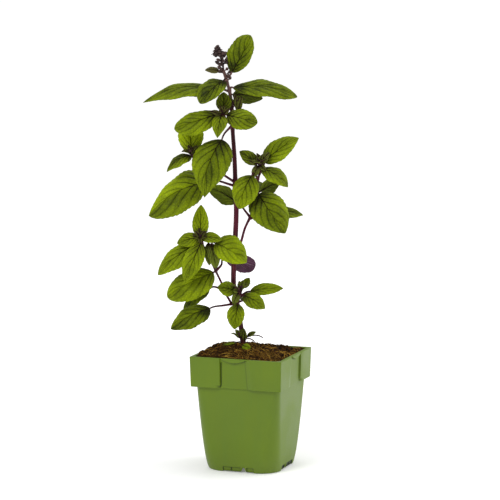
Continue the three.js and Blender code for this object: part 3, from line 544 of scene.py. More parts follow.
def window_at(along, height, grow=0.0):
    """1 in the shallow windows of the foot ring; grow widens them."""
    inside = np.zeros_like(along + height)
    for left, right in FOOT_WINDOWS:
        across = rises_at(left - grow, 0.2, along) * (1 - rises_at(right + grow, 0.2, along))
        inside = np.maximum(inside, across)
    return inside * (1 - rises_at(WINDOW_TALL + grow, 0.2, height))


# %% One ring of the pot
# Points lie close together where the slots, lips, windows and notches have their edges.
SIDE_MARKS = np.unique(np.round(np.concatenate([
    np.linspace(-18.6, 18.6, 70), np.linspace(-18.6, -16.2, 13), np.linspace(2.4, 9.6, 22),
    np.linspace(-9.6, -7.4, 12), np.linspace(9.9, 14.6, 16), np.linspace(1.5, 2.4, 5),
]), 3))
SIDE_ENDS = np.linspace(0, 1, 9)[1:]       # from the marks to the corner's arc
ARC = np.linspace(0, 1, 13)[1:-1]


def side_samples(straight):
    """Places along one side, from its left arc's end to its right one's, evenly past the marks."""
    reach = SIDE_MARKS[-1]
    right = reach + (straight - reach) * SIDE_ENDS
    return np.concatenate([-right[::-1], SIDE_MARKS, right])


def at_height(flat, height):
    """Flat points (x, y) lifted to one height."""
    return np.concatenate([flat, np.full((len(flat), 1), float(height))], axis=1)


def pot_ring(half, corner, height, change=None):
    """A ring round the pot at a height; change(along, height) moves its sides in or out.

    Each side is a straight run of half - corner to both sides of its middle, and each corner a
    quarter circle. The front side runs along +X; the right side mirrors it across the corner,
    and the other two are these two turned by half a turn.
    """
    straight = half - corner
    along = side_samples(straight)
    shift = change(along, height) if change else np.zeros_like(along)
    front = np.stack([along, -(half + shift)], axis=-1)
    right = -front[::-1, ::-1]
    across, ahead = corner * np.cos(ARC * np.pi / 2), corner * np.sin(ARC * np.pi / 2)
    front_right = np.stack([straight + ahead, -straight - across], axis=-1)
    back_right = np.stack([straight + across, straight + ahead], axis=-1)
    half_ring = np.concatenate([front, front_right, right, back_right])
    return at_height(np.concatenate([half_ring, -half_ring]), height)


def body_size(height):
    """Half width and corner radius of the body: both swell with the height to a power."""
    swell = (max(height, 0) / POT_HEIGHT) ** BODY_CURVE
    half = BODY_HALF[0] + (BODY_HALF[1] - BODY_HALF[0]) * swell
    corner = BODY_CORNER[0] + (BODY_CORNER[1] - BODY_CORNER[0]) * swell
    return half, corner


def along_side(ring):
    """How far each point of a ring lies along its side; odd sides are mirrored."""
    x, y = ring[:, 0], ring[:, 1]
    front = np.abs(y) >= np.abs(x)
    return np.where(front, np.where(y < 0, x, -x), np.where(x > 0, -y, y))


# %% Rings of the body, the collar and the foot
def body_ring(height, inset):
    """A ring of the body, drawn in by an inset."""
    half, corner = body_size(height)
    return pot_ring(half - inset, max(corner - inset, 1), height)


def collar_ring(height, inset, edge):
    """A ring of the hanging collar; edge is 1 on the outer face, where slots and lips show."""
    taper = COLLAR_TAPER + (1 - COLLAR_TAPER) * (height - COLLAR_LOW) / (POT_HEIGHT - COLLAR_LOW)

    def change(along, at):
        step = -PANEL_STEP * (1 - panel_at(along, at))
        return step + edge * (LIP_PROUD * lip_at(along, at) - SLOT_DEEP * slot_at(along, at))

    return pot_ring(RIM_HALF * taper - inset, 1.6, height, change)


def foot_shift(rings):
    """Raises the foot's lower edge and presses the windows in, fading out above the ring."""
    for ring in rings:
        along = along_side(ring)
        low = foot_at(along)
        height = ring[:, 2]
        share = np.clip(1 - height / WINDOW_FADE, 0, 1)
        press = WINDOW_DEEP * window_at(along, height) * (height > 0.4)
        scale = 1 - press / np.maximum(np.abs(ring[:, :2]).max(axis=1), 1)
        ring[:, :2] *= scale[:, None]
        ring[:, 2] = height + low * share
    return rings


def centre_ring(ring, radius, height):
    """A ring's points drawn onto a circle round the middle."""
    angle = np.arctan2(ring[:, 1], ring[:, 0])
    return at_height(radius * np.stack([np.cos(angle), np.sin(angle)], axis=-1), height)


# %% The pot's skin, row by row
# Heights of the rings on each stretch of the skin: close where it bends or has an edge (mm).
FOOT_INSIDE = (FLOOR_UNDER, 6.0, 4.5, 3.0, 1.5, 0.4)
FOOT_OUTSIDE = (0.3, 0.7, 1.4, 2.4, 3.6, 4.8, 5.3, 5.5, 5.8)
BODY_LOW = (6.5, 7.5, 9, 11, 13.5, 16.5, 20, 24, 29, 35, 42)
COLLAR_INSIDE = (124, 116, 108, 101, 98.6, 97.9)
COLLAR_OUTSIDE = (97.7, 98.1, 98.6, 99.2, 99.9, 100.6, 101.4, 103, 106, 110, 115, 120, 124)
BODY_INSIDE = (129, 124, 110, 90, 60, 30, 14, 9.6)

model = body_ring(0, FOOT_WALL)
rows = [centre_ring(model, radius, 0) for radius in (3, 6, PAD_RADIUS - 0.4)]
rows += [centre_ring(model, PAD_RADIUS, height) for height in (0.4, FLOOR_UNDER - 0.3)]
rows += [centre_ring(model, radius, FLOOR_UNDER) for radius in (PAD_RADIUS + 0.6, 15, 22, 30, 36)]
foot = [body_ring(height, FOOT_WALL) for height in FOOT_INSIDE]
foot += [body_ring(0, inset) for inset in (1.7, 0.35)]
foot += [body_ring(height, 0) for height in FOOT_OUTSIDE]
rows += foot_shift(foot)
rows += [body_ring(height, 0) for height in (*BODY_LOW, *np.linspace(50, 126, 17), 128.5)]
rows += [collar_ring(129.3, 1.6, 0), collar_ring(128.6, PANEL_SHEET, 0)]
rows += [collar_ring(height, PANEL_SHEET, 0) for height in COLLAR_INSIDE]
rows += [collar_ring(COLLAR_LOW, inset, 1) for inset in (0.75, 0.3)]
rows += [collar_ring(height, 0, 1) for height in (*COLLAR_OUTSIDE, *np.arange(126.4, 131.7, 0.35))]
rows += [collar_ring(POT_HEIGHT - 0.12, 0.12, 1), collar_ring(POT_HEIGHT, 0.5, 1)]
rows += [pot_ring(BODY_HALF[1] - inset, BODY_CORNER[1], POT_HEIGHT - low)
         for inset, low in ((0.3, 0), (0.7, 0.4))]
rows += [body_ring(height, WALL) for height in BODY_INSIDE]
rows += [body_ring(FLOOR_TOP, WALL + 1.6)]
rows += [centre_ring(model, radius, FLOOR_TOP) for radius in (34, 28, 20, 12, 5)]
rings = np.stack(rows)

# %% Painted shade in the pot's creases: slots, lips, ramp edge and foot windows
reach, height = np.abs(rings[..., :2]).max(axis=-1), rings[..., 2]
along = along_side(rings.reshape(-1, 3)).reshape(reach.shape)
collar = (reach > 50.3) & (height > COLLAR_LOW - 0.1)
foot_outside = (reach > 41) & (height < 8)
window = window_at(along, height, 0.3)
outline = window - window_at(along, height - 0.3, -0.35)
dark_side = (rings[..., 0] > np.abs(rings[..., 1])) * window    # the side that the lamp misses
crease = collar_crease(along, height) * collar
crease = crease + np.maximum(1.15 * outline, 1.1 * dark_side) * foot_outside
pot_skin = Skin()
pot_skin.add_rings(rings * MM, crease=crease)
print("pot rings:", len(rows), "points in each:", len(rows[0]))

# %% [markdown]
# ## Olive green plastic
#
# The pot is a dull olive green that looks paler where it reflects the white studio at a slant, as
# on its right side. That is a satin plastic: a coloured base with a soft, broad reflection. Thin
# moulded sheet is never quite even, so the colour drifts a little, faint streaks run up the
# walls, and dust dulls the foot.

# %% The plastic
pot_plastic, recipe = new_material("olive_plastic")
drift, _ = add_mottle(recipe, 18)
_, grain = add_mottle(recipe, 260)
streak = recipe.streaks(squash=0.08, scale=140.0, detail=3.0)
colour = recipe.blend(drift, "586F03", "5E7506")
colour = recipe.blend(recipe.between(streak, 0.35, 0.7, 0.0, 0.35), colour, "557010")
dust = recipe.times(recipe.between(recipe.up(), 0.03, 0.0), recipe.between(grain, 0.45, 0.7))
colour = recipe.blend(recipe.times(dust, 0.35), colour, "7E8250")
# Painted shade darkens the slots, the line under each lip, the edge of the soft ramp and the
# foot's windows.
colour = recipe.blend(recipe.times(recipe.attribute("crease"), 0.9), colour, "1E2A10")
rough = recipe.between(drift, 0.0, 1.0, 0.4, 0.5)
rough = recipe.math("MULTIPLY_ADD", dust, 0.2, rough)
recipe.finish(colour, rough, 0.33, grain, strength=0.12, distance=0.0003)

pot_shell = pot_skin.piece("nursery_pot", pot_plastic, "pot_plastic", "pot")

# %% Cut the drain holes
SHARP = 38                          # degrees: edges that turn more than this stay crisp
drill = Skin()
for number in range(DRAINS):
    angle = (number + 0.5) * 2 * np.pi / DRAINS
    middle = DRAIN_CIRCLE * np.array([math.cos(angle), math.sin(angle), 0])
    line = middle + np.array([[0, 0, FLOOR_UNDER - 2], [0, 0, FLOOR_TOP + 2]])
    drill.add_rings(tube(line, DRAIN_RADIUS, 28) * MM)
cutter = drill.piece("drain_drill", pot_plastic, "pot_plastic")
cut = pot_shell.modifiers.new("drain_holes", "BOOLEAN")
cut.operation = "DIFFERENCE"
cut.solver = "MANIFOLD"
cut.object = cutter
bpy.context.view_layer.update()
evaluated = pot_shell.evaluated_get(bpy.context.evaluated_depsgraph_get())
pot_mesh = bpy.data.meshes.new_from_object(evaluated)
pot_shell.modifiers.clear()
pot_shell.data = pot_mesh
pot_mesh.shade_smooth()
pot_mesh.set_sharp_from_angle(angle=math.radians(SHARP))
bpy.data.objects.remove(cutter)
print("pot faces:", len(pot_mesh.polygons))

# %% [markdown]
# ## The root ball
#
# A nursery plant stands in a peaty mix held together by its roots, with coir fibres and crumbs
# of bark on top. It is a lumpy skin that is mounded round the stem, sinks a few millimetres
# towards the right and is heaped up a little along the back. The body of the mix is one skin of
# rings, whose top rings shrink to the middle and take their heights from a formula with noise.
# Fibres, crumbs and fine pale roots are many small closed shapes strewn over it, because that is
# what catches the light. They leave out the places of the two fallen leaves, which is why those
# places are written down here already.

# %% The shape of the mix
SOIL_LEVEL = 130
SOIL_MOUND = 10
SOIL_SPREAD = 36
SOIL_SLOPE = 0.045
SOIL_LUMP = 0.7
SOIL_HEAP = 3.2                     # how much higher it lies along the back, to the right
STEM_FOOT = placed([-9, 6, 98]) / MM
SOIL_INSET = WALL + 0.3
SOIL_SIDES = (8.5, 8.5, 16, 30, 50, 75, 97, 112, 122, 126)      # heights of its side rings
SOIL_POINTS = 240                   # in each ring
SOIL_ROWS = 62                      # of its top


def soil_height(x, y):
    """Height of the mix: level, less a slope, plus a mound round the stem, a heap and lumps."""
    away = np.hypot(x - STEM_FOOT[0], y - STEM_FOOT[1])
    across = x * math.cos(PLANT_TURN) + y * math.sin(PLANT_TURN)
    lumps = np.sin(0.31 * x + 1) * np.cos(0.27 * y) + np.sin(0.13 * x - 0.19 * y + 2)
    mound = SOIL_MOUND * np.exp(-(away / SOIL_SPREAD) ** 2)
    heap = SOIL_HEAP * smooth_step(-15, 28, x) * smooth_step(15, 48, y)
    return SOIL_LEVEL - SOIL_SLOPE * across + mound + heap + SOIL_LUMP * lumps


def soil_skin_height(x, y):
    """The height with the fine roughness of peat on it."""
    rough = 0.9 * value_noise(0.35 * x, 0.35 * y, 3) + 0.5 * value_noise(0.9 * x, 0.9 * y, 4)
    return soil_height(x, y) + rough + 0.25 * value_noise(2.1 * x, 2.1 * y, 5)


def rounded_square(half, corner, count):
    """Points round a rounded square, at even angles.

    Along a direction the edge is half / larger of (|cos|, |sin|) away on the flat sides. At the
    corners it is where the ray leaves a circle of the corner's radius.
    """
    angle = np.linspace(0, 2 * np.pi, count, endpoint=False)
    far, near = np.sort(np.abs([np.cos(angle), np.sin(angle)]), axis=0)[::-1]
    straight = half - corner
    bent = np.sqrt(np.maximum(corner ** 2 - (straight * (far - near)) ** 2, 0))
    reach = np.where(near * half / far <= straight, half / far, straight * (far + near) + bent)
    return np.stack([reach * np.cos(angle), reach * np.sin(angle)], axis=-1)


# %% The mix's skin
UNDER_RING = 0.6                    # the lowest ring lies on the underside, so far out
sides = []
for height in SOIL_SIDES:
    half, corner = body_size(height)
    edge = rounded_square(half - SOIL_INSET, corner - SOIL_INSET, SOIL_POINTS)
    sides.append(at_height(edge, height))
sides[0][:, :2] *= UNDER_RING
top = np.linspace(1, 0.03, SOIL_ROWS)[:, None, None] * edge
top = np.concatenate([top, soil_skin_height(top[..., 0], top[..., 1])[..., None]], axis=-1)
soil_skin = Skin()
soil_skin.add_rings(np.concatenate([np.stack(sides), top]) * MM)
print("soil rings:", len(sides) + len(top))

# %% Places on the mix
def strewn(count, reach=0.97):
    """Random places on the mix, as x and y in mm, with more towards the rim."""
    place = edge[rng.integers(0, len(edge), count)]
    return place * (reach * np.sqrt(rng.uniform(0.002, 1, count)))[:, None]


FALLEN = {
    # middle (mm), length, width, turn, height over the mound, way it faces, tone
    "fallen_leaf_left": ([-25, 1], 15, 6.5, 8, 1.7, [0, -0.25, 1], 0.6),
    "fallen_leaf_front": ([-5.5, -13], 10.5, 8.5, -25, 2.9, [0, -0.9, 0.65], 0.75),
}


def on_fallen_leaf(x, y):
    """True for places under one of the two fallen leaves, which stay free of crumbs."""
    covered = np.zeros(np.shape(x), bool)
    for middle, long, *_ in FALLEN.values():
        leaf_x, leaf_y, _ = placed([*middle, 0]) / MM
        covered |= np.hypot(x - leaf_x, y - leaf_y) < 0.5 * long
    return covered


# %% Crumbs
CRUMBS = 620
CRUMB_GRID = (4, 6)                 # rings, and points in each
crumb_skin = Skin()
places = strewn(CRUMBS)
polar = np.linspace(0.35, np.pi - 0.35, CRUMB_GRID[0])[:, None]
for x, y in places[~on_fallen_leaf(*places.T)]:
    size = 0.45 + 1.5 * rng.random() ** 3
    turn = np.linspace(0, 2 * np.pi, CRUMB_GRID[1], endpoint=False) + rng.uniform(0, 1)
    ball = np.stack([np.sin(polar) * np.cos(turn), np.sin(polar) * np.sin(turn),
                     np.cos(polar) + 0 * turn], axis=-1)[::-1]
    lump = size * rng.uniform(0.75, 1.25, (*CRUMB_GRID, 1)) * ball * rng.uniform(0.6, 1.2, 3)
    middle = np.array([x, y, soil_skin_height(x, y) + 0.2 * size])
    crumb_skin.add_rings((middle + lump) * MM, shade=0.72 * rng.random())
print("crumbs:", CRUMBS)

# %% Fibres and roots
FIBRES = 1150
STRAWS = 110                        # of the fibres, so many are thick and pale
ROOTS = 90                          # fine pale roots that arch over the front of the mix
FIBRE_POINTS = 7
ROOT_POINTS = 12
FIBRE_LIMIT = 0.98 * (body_size(SOIL_SIDES[-1])[0] - SOIL_INSET)
FIBRE_TAPER = np.array([0.5, 0.9, 1, 1, 1, 0.8, 0.4])
ROOT_TAPER = np.interp(np.arange(ROOT_POINTS), (0, 2, 9, 11), (0.5, 1, 1, 0.4))


def lying_path(middle, angle, step, hump, ground, lift):
    """A path that lies on the mix: equal steps at the given angles, centred on its middle.

    It is kept inside the pot. Its height is ground(x, y) + lift + hump * sin(pi * share).
    """
    flat = np.cumsum(np.stack([np.cos(angle), np.sin(angle)], axis=-1) * step, axis=0)
    flat = np.clip(flat - flat.mean(axis=0) + middle, -FIBRE_LIMIT, FIBRE_LIMIT)
    arch = hump * np.sin(np.linspace(0, np.pi, len(angle)))
    rise = ground(flat[:, 0], flat[:, 1]) + lift + arch
    return np.concatenate([flat, rise[:, None]], axis=1)


def add_fibre(path, radii, shade):
    """Adds a three-sided tube along a path on the mix."""
    fibre_skin.add_rings(tube(path, radii, 3, reference=(0, 0, 1)) * MM, shade=shade)


# %% Strew the fibres
fibre_skin = Skin()
places = strewn(FIBRES)
for number, (x, y) in enumerate(places[~on_fallen_leaf(*places.T)]):
    straw = number < STRAWS
    step = rng.uniform(4, 19) / FIBRE_POINTS
    heading = rng.uniform(0, 2 * np.pi)
    angle = heading + rng.uniform(-1.1, 1.1) * np.linspace(-0.5, 0.5, FIBRE_POINTS)
    path = lying_path([x, y], angle, step, rng.uniform(0, 1.6), soil_skin_height, 0.2)
    thick = rng.uniform(0.1, 0.24) * (1.7 if straw else 1)
    shade = rng.uniform(0.75, 1) if straw else rng.random()
    patch = float(value_noise(0.07 * x, 0.07 * y, 9))
    add_fibre(path, thick * FIBRE_TAPER, np.clip(0.92 * shade + 0.2 * patch, 0, 1))
print("fibres:", FIBRES)

# %% Strew the roots
chance = np.random.default_rng(21)
for _ in range(ROOTS):
    middle = placed([chance.normal(4, 24), chance.normal(-22, 14), 0]) / MM
    heading = chance.uniform(0, 2 * np.pi)
    angle = heading + chance.uniform(-2.4, 2.4) * np.linspace(-0.5, 0.5, ROOT_POINTS)
    step = chance.uniform(8, 24) / ROOT_POINTS
    if on_fallen_leaf(*middle[:2]):
        continue
    path = lying_path(middle[:2], angle, step, chance.uniform(0.5, 3.2), soil_height, 0.3)
    add_fibre(path, chance.uniform(0.08, 0.13) * ROOT_TAPER, chance.uniform(0.75, 1.0))
print("roots:", ROOTS)

# %% [markdown]
# ## Peat, bark and coir
#
# Damp peat is nearly black-brown, with redder and paler grains. The mix gets a dark base with two
# scales of mottle and a rough, almost unlit surface. Fibres and crumbs carry one random number
# each, which picks their colour between dark brown, fox red and straw.

# %% The mix and its fibres
potting_mix, recipe = new_material("peat_mix")
clumps, grain = add_mottle(recipe, 120, 0.7)
speckle, _ = add_mottle(recipe, 700, 0.8)
colour = recipe.blend(clumps, "120A03", "3A260E")
colour = recipe.blend(recipe.times(speckle, 0.45), colour, "4E3316")
rough = recipe.between(speckle, 0.0, 1.0, 0.97, 0.85)
recipe.finish(colour, rough, 0.05, grain, strength=0.9, distance=0.0008)

fibre_finish, recipe = new_material("coir_fibre")
ramp = recipe.node("ShaderNodeValToRGB", {"Fac": recipe.attribute("shade")})
stops = ramp.color_ramp.elements
stops[0].color, stops[1].color = hex_colour("140B02"), hex_colour("DCB048")
for share, code in ((0.4, "2C1806"), (0.62, "5A360E"), (0.82, "9C7226")):
    stops.new(share).color = hex_colour(code)
_, grain = add_mottle(recipe, 300)
colour = recipe.blend(recipe.times(grain, 0.4), ramp.outputs["Color"], "24160B")
recipe.finish(colour, recipe.between(grain, 0.2, 0.8, 0.7, 0.95), 0.1)

soil_skin.piece("potting_mix", potting_mix, "potting_mix", "potting_soil")
crumb_skin.piece("bark_crumbs", fibre_finish, "potting_mix")
fibre_skin.piece("coir_fibres", fibre_finish, "potting_mix")

# %% [markdown]
# ## Stem, branches and leaf stalks
#
# Basil belongs to the mint family: its stem is square with soft corners, its leaves stand in
# pairs, and each pair is turned by a quarter from the pair below. The stem is thicker at every
# joint where a pair leaves it. All of it grew together, so all of it is one piece: tubes along
# smooth paths, whose ends run into each other. The stalks end a millimetre inside their blades.

# %% The paths, in the plant's frame (mm)
STEM = [
    [-9, 6, 98], [-9, 6, 138], [-12, 6, 162], [-15, 6, 180], [-20, 6, 208], [-20, 6, 228],
    [-18, 6, 265], [-17, 6, 292], [-18, 6, 326], [-19, 6, 356], [-21, 6, 386], [-22, 6, 411],
    [-24, 5, 428], [-27, 4, 440], [-30, 3, 450], [-31.5, 3, 456],
]
BRANCHES = {
    # start and end radius, then the path
    "right": (1.4, 1.1, [[-17, 6, 240], [-11, 7, 260], [-7, 8, 274], [-1, 8, 287], [5.5, 7, 311],
                         [8.5, 5, 333], [13, 4, 344]]),
    "lower_left": (1.3, 1.0, [[-22, 6, 186], [-28, 3, 197], [-34, 0, 212], [-41, -2, 227],
                              [-48, -5, 243], [-57, -9, 260]]),
    "upper_left": (1.4, 1.0, [[-19, 6, 327], [-34, 4, 337], [-49, 2, 346], [-64, 1, 354]]),
    "top_front": (1.4, 1.0, [[-21, 6, 392], [-26, -2, 396], [-31, -9, 402]]),
    "low_front": (1.3, 0.9, [[-16, 6, 184], [-15, 1, 190], [-13, -4, 198]]),
    "twig_long": (0.8, 0.6, [[-10, 5, 147], [-4, 4, 149], [3, 4, 150.5], [9, 4, 150],
                             [14, 4, 147.5]]),
    "twig_short": (0.8, 0.6, [[-9, 4, 146], [-5, 1, 147.5], [0, -2, 147], [4, -4, 144.5]]),
    "stub": (1.3, 1.1, [[-11, 5, 146], [-9, 4, 150], [-7, 4, 154]]),
}

# %% Every leaf's place, form and look
def blade(start, base, tip, width, face, arch, fold, look, **rest):
    """One leaf's numbers by name, in the plant's frame (mm).

    The stalk starts at start; base and tip are the ends of the blade, and face is the way its
    upper side looks. The look is three numbers from 0 up: how light the leaf is, how purple all
    over, and how purple towards its base. The rest is given only where it isn't the usual: bend
    bows the blade sideways; point and full say how blunt it is at the tip and at the base, halves
    how wide each half is; via is a point on the stalk; ink is how dark the veins are; and sides is
    what each half adds to the tone, where a fold turns the two to different light.
    """
    return dict(start=start, base=base, tip=tip, width=width, face=face, arch=arch, fold=fold,
                look=look, **rest)


LEAVES = {
    "leaf_top_up": blade([-28, 3, 446], [-22, 0, 452], [-1.5, -9, 494], 29, [-0.3, -1, 0.3], 0.05,
        0.3, (0.4, 0, 0.4), bend=-0.06, point=0.6, halves=[0.82, 1.24], ink=1.1),
    "leaf_top_front": blade([-27, 4, 441], [-29, -2, 442.5], [-57.5, -22, 419.5], 24,
        [-0.25, -1, 0.75], 0.12, 0.1, (0.33, 0.05, 0.6), point=0.65, halves=[1.45, 0.92]),
    "leaf_top_left": blade([-24, 5, 430], [-40, 7, 433], [-123, 2, 421], 27, [0, -0.55, 0.85], 0.1,
        0.1, (0.44, 0, 0.4), point=0.95, halves=[0.86, 1.18], ink=0.45),
    "leaf_top_right": blade([-24, 5, 430], [-20.5, 5, 434.5], [52.5, 0, 427], 26.5,
        [0, -0.65, 0.75], 0.08, 0.2, (0.38, 0, 0.4), point=0.65, halves=[1.1, 0.96], ink=0.5),
    "leaf_top_under": blade([-23, 6, 409], [-21, 10, 426.5], [13, 17, 422], 21, [0.1, 0.95, 0.3],
        0.08, 0.2, (0.15, 0.4, 0.4)),
    "leaf_top_small": blade([-30, 3, 449], [-36, 2, 454], [-52, -2, 455], 8.5, [0, -0.9, 0.5],
        0.06, 0.2, (0.6, 0, 0.3), small=True),
    "leaf_crown_left": blade([-31, -8, 401], [-37.5, -12.5, 405.5], [-87, -14, 390], 28,
        [-0.15, -0.85, 0.5], 0.1, 0.15, (0.55, 0, 1.3), bend=0.05, point=0.6, halves=[0.95, 1.12]),
    "leaf_crown_right": blade([-30, -8, 401], [-27.5, -12, 404.8], [7, -19, 397], 26,
        [0.1, -0.9, 0.45], 0.1, 0.1, (0.55, 0.1, 1.2), bend=-0.05, point=0.65),
    "leaf_crown_front": blade([-31, -9, 401], [-33, -15, 405], [-38, -33, 381], 18,
        [-0.1, -1, 0.9], 0.16, 0.15, (0.6, 0.2, 1.9), point=0.95),
    "leaf_crown_up": blade([-30, -7, 400], [-31, -4, 408], [-31, -1, 430], 18, [0, -1, 0.2], -0.06,
        0.25, (0.35, 0.45, 0.8)),
    "leaf_crown_back": blade([-28, -5, 399], [-38, -1, 405], [-62, 24, 398], 22, [-0.2, 0.2, 1],
        0.14, 0.15, (0.3, 0, 0.4)),
    "leaf_hanging_front": blade([-21.5, 4, 392], [-33, -12, 377], [-53, -26, 313], 43,
        [-0.12, -1, 0.3], 0.08, 0.12, (0.42, 0, 0.5), bend=-0.07, point=1.05, halves=[1, 1.06],
        sides=(0.08, -0.06)),
    "leaf_hanging_back": blade([-21, 7, 390], [-16, 16, 396], [-6, 48, 393], 27, [0.1, 0.1, 1],
        0.14, 0.15, (0.25, 0, 0.4)),
    "leaf_branch_large": blade([-19, 6, 323], [-51, 1, 327], [-117, -10, 292], 42,
        [-0.3, -0.85, 0.55], 0.07, 0.2, (0.68, 0, 0.5), bend=-0.05, point=[0.86, 0.74],
        halves=[1.15, 1.26], full=[0.13, 0.74], sides=(0.2, -0.2)),
    "leaf_branch_back": blade([-18, 6, 323], [-12, 16, 325], [11, 48, 313], 30, [0.2, 0.3, 1],
        0.16, 0.15, (0.3, 0, 0.4)),
    "leaf_side_up": blade([-64, 1, 354], [-67.5, 4, 360], [-69.5, 11, 401], 30, [-0.2, -1, 0.15],
        0.04, 0.3, (0.95, 0, 1.0), point=0.65),
    "leaf_side_left": blade([-63, 1, 354], [-68.5, -2, 358], [-96, -9, 341], 20, [-0.3, -0.6, 0.8],
        0.12, 0.2, (0.5, 0.15, 1.2), point=0.9, full=[0.5, 0.5], sides=(-0.2, 0.1)),
    "leaf_dark_middle": blade([-1, 9, 286], [-16, 15, 303.5], [-49, 19, 320], 24, [0.3, 0.9, 0.35],
        0.06, 0.15, (0.9, 0, 0.4), via=[-9, 13, 296]),
    "leaf_right_up": blade([12, 5, 340], [15, 3, 350], [53, -3, 379], 27, [-0.4, -0.85, 0.5], 0.07,
        0.25, (0.6, 0, 0.5), halves=[1, 1.12], full=[0.62, 0.45], ink=1.1),
    "leaf_right_down": blade([12, 4, 340], [12.5, -2, 342.5], [42, -12, 324], 21,
        [0.25, -0.8, 0.75], 0.14, 0.2, (0.55, 0.05, 1.0), halves=[1.1, 1.12], ink=1.3),
    "leaf_right_inner": blade([11, 4, 339], [7, -1, 349], [-13, -3, 363], 15, [-0.3, -0.9, 0.4],
        0.1, 0.2, (0.45, 0.6, 1.0)),
    "leaf_right_back": blade([12, 6, 339], [18, 12, 351], [38, 38, 361], 20, [-0.2, -0.2, 1], 0.12,
        0.2, (0.3, 0.05, 0.4)),
    "leaf_bright_front": blade([8, 5, 330], [1, -8, 336], [-14, -18, 299], 29, [-0.1, -1, 0.35],
        0.1, 0.12, (0.6, 0, 0.3), bend=-0.03, halves=[1, 1.08]),
    "leaf_large_right": blade([5.5, 7, 311], [8, -3, 314.5], [39, -14, 271], 44, [0.1, -1, 0.3],
        0.08, 0.12, (0.43, 0, 0.6), bend=-0.03, halves=[0.93, 0.97], full=[0.38, 0.62],
        sides=(-0.1, 0.1)),
    "leaf_dark_right": blade([5.5, 7, 312], [11, 12, 316], [32, 18, 325], 20, [0.2, 0.9, 0.4], 0.1,
        0.15, (0.9, 0, 0.4)),
    "leaf_far_right": blade([-1, 8, 285], [18, 13, 290], [60, 16, 289.5], 26, [0.1, -0.5, 0.85],
        0.08, 0.2, (0.35, 0, 0.4), point=0.9, ink=0.5),
    "leaf_rosette_up": blade([-57, -8, 258], [-58, -8, 266], [-57, -3, 302], 19, [0, -1, 0.15],
        -0.05, 0.2, (0.95, 0.05, 1.3), full=[0.5, 0.5], ink=1.5),
    "leaf_rosette_left": blade([-56, -9, 257], [-59, -14, 265.5], [-84, -18, 260], 18,
        [-0.1, -0.9, 0.5], 0.1, 0.2, (0.62, 0.15, 1.5), ink=1.5),
    "leaf_rosette_right": blade([-56, -9, 257], [-57, -14, 265.8], [-33, -16, 264], 14,
        [0.1, -0.9, 0.6], 0.12, 0.2, (0.62, 0.2, 1.5), small=True, ink=1.5),
    "leaf_rosette_long": blade([-55, -8, 255], [-59.5, -10.5, 259.5], [-107, -14, 224], 25,
        [-0.3, -0.85, 0.5], 0.09, 0.2, (0.65, 0, 0.8), halves=[1, 1.15], ink=1.2),
    "leaf_rosette_front": blade([-55, -8, 255], [-57, -17, 260], [-75, -29, 217], 23,
        [0.05, -1, 0.4], 0.12, 0.25, (0.65, 0, 0.9), ink=1.4),
    "leaf_rosette_back": blade([-55, -7, 255], [-61, 4, 260], [-78, 30, 250], 22, [-0.2, 0.2, 1],
        0.14, 0.15, (0.3, 0, 0.4)),
    "leaf_crossing": blade([-44, -3, 235], [-41, -11, 259], [-5, -22, 239], 29, [0.15, -0.9, 0.5],
        0.1, 0.15, (0.84, 0, 0.4), halves=[1, 1.4], full=[0.62, 0.44], via=[-45, -9, 250], ink=0.6,
        sides=(0.04, -0.12)),
    "leaf_purple_back": blade([-40, -1, 226], [-30, 13, 236.5], [4.5, 25, 228.5], 20.5,
        [0.1, 0.95, 0.25], 0.1, 0.1, (0.5, 0.6, 0.2), point=0.5, halves=[1, 1.2],
        full=[0.85, 0.95], via=[-34, 5, 232]),
    "leaf_low_large": blade([-40, -2, 226], [-43, -8, 225], [-96, -14, 198.5], 33,
        [-0.15, -0.85, 0.55], 0.07, 0.15, (0.68, 0, 0.2), point=0.6, halves=[1.02, 1.25],
        full=[0.62, 0.5], ink=0.25, sides=(0.06, -0.06)),
    "leaf_low_dark": blade([-31, 2, 203], [-48, 13, 203], [-79, 13, 180], 22, [0, -0.5, 0.85], 0.1,
        0.15, (0.3, 0, 0.4)),
    "leaf_lowest": blade([-18, 6, 187], [-47, -4, 183], [-92, -14, 162], 27, [-0.15, -0.75, 0.65],
        0.08, 0.15, (0.45, 0, 0.35), halves=[1.05, 1.15], via=[-32, -2, 186], sides=(0.1, -0.15)),
    "leaf_low_back": blade([-17, 7, 188], [-9, 15, 189], [5, 42, 187], 20, [0.1, 0.1, 1], 0.12,
        0.15, (0.3, 0, 0.4)),
    "leaf_shoot_left": blade([-14, -2, 195], [-18, -8, 204], [-38, -12, 209], 18,
        [-0.1, -0.9, 0.4], 0.1, 0.15, (0.5, 0.05, 0.9), ink=1.4),
    "leaf_shoot_up": blade([-13, -1, 195], [-9, 1, 206], [-2, 2, 217.5], 10, [-0.3, -0.9, 0.3],
        0.06, 0.25, (0.55, 0.2, 1.1), small=True, ink=1.4),
    "leaf_shoot_right": blade([-13, -3, 196], [-1, -3, 202.5], [36.5, -6, 207], 15, [0, -0.9, 0.5],
        0.08, 0.2, (0.5, 0, 0.4), ink=0.6),
    "leaf_shoot_down": blade([-14, -3, 195], [-9, -12, 199], [16, -18, 185.5], 20,
        [0.1, -0.9, 0.6], 0.12, 0.15, (0.5, 0.05, 0.9), ink=1.4),
    "leaf_shoot_front": blade([-14, -3, 195], [-15, -10, 189], [-19, -17, 161], 19,
        [-0.05, -1, 0.35], 0.1, 0.15, (0.55, 0, 0.4), halves=[1.15, 1]),
}
print("leaves:", len(LEAVES), "branches:", len(BRANCHES))

# %% Build the stem
STEM_RADII = (2.9, 2.7, 2.9, 2.65, 2.2, 1.3)     # at even steps from foot to top
STALK_RADIUS = 1.15
SMALL_STALK = 0.75                  # of that, for the smallest leaves
JOINT_REACH = 4                     # how far a joint swells the stem (mm)
stem_skin = Skin()
joints = np.array([leaf["start"] for leaf in LEAVES.values()]
                  + [path[0] for _, _, path in BRANCHES.values()])


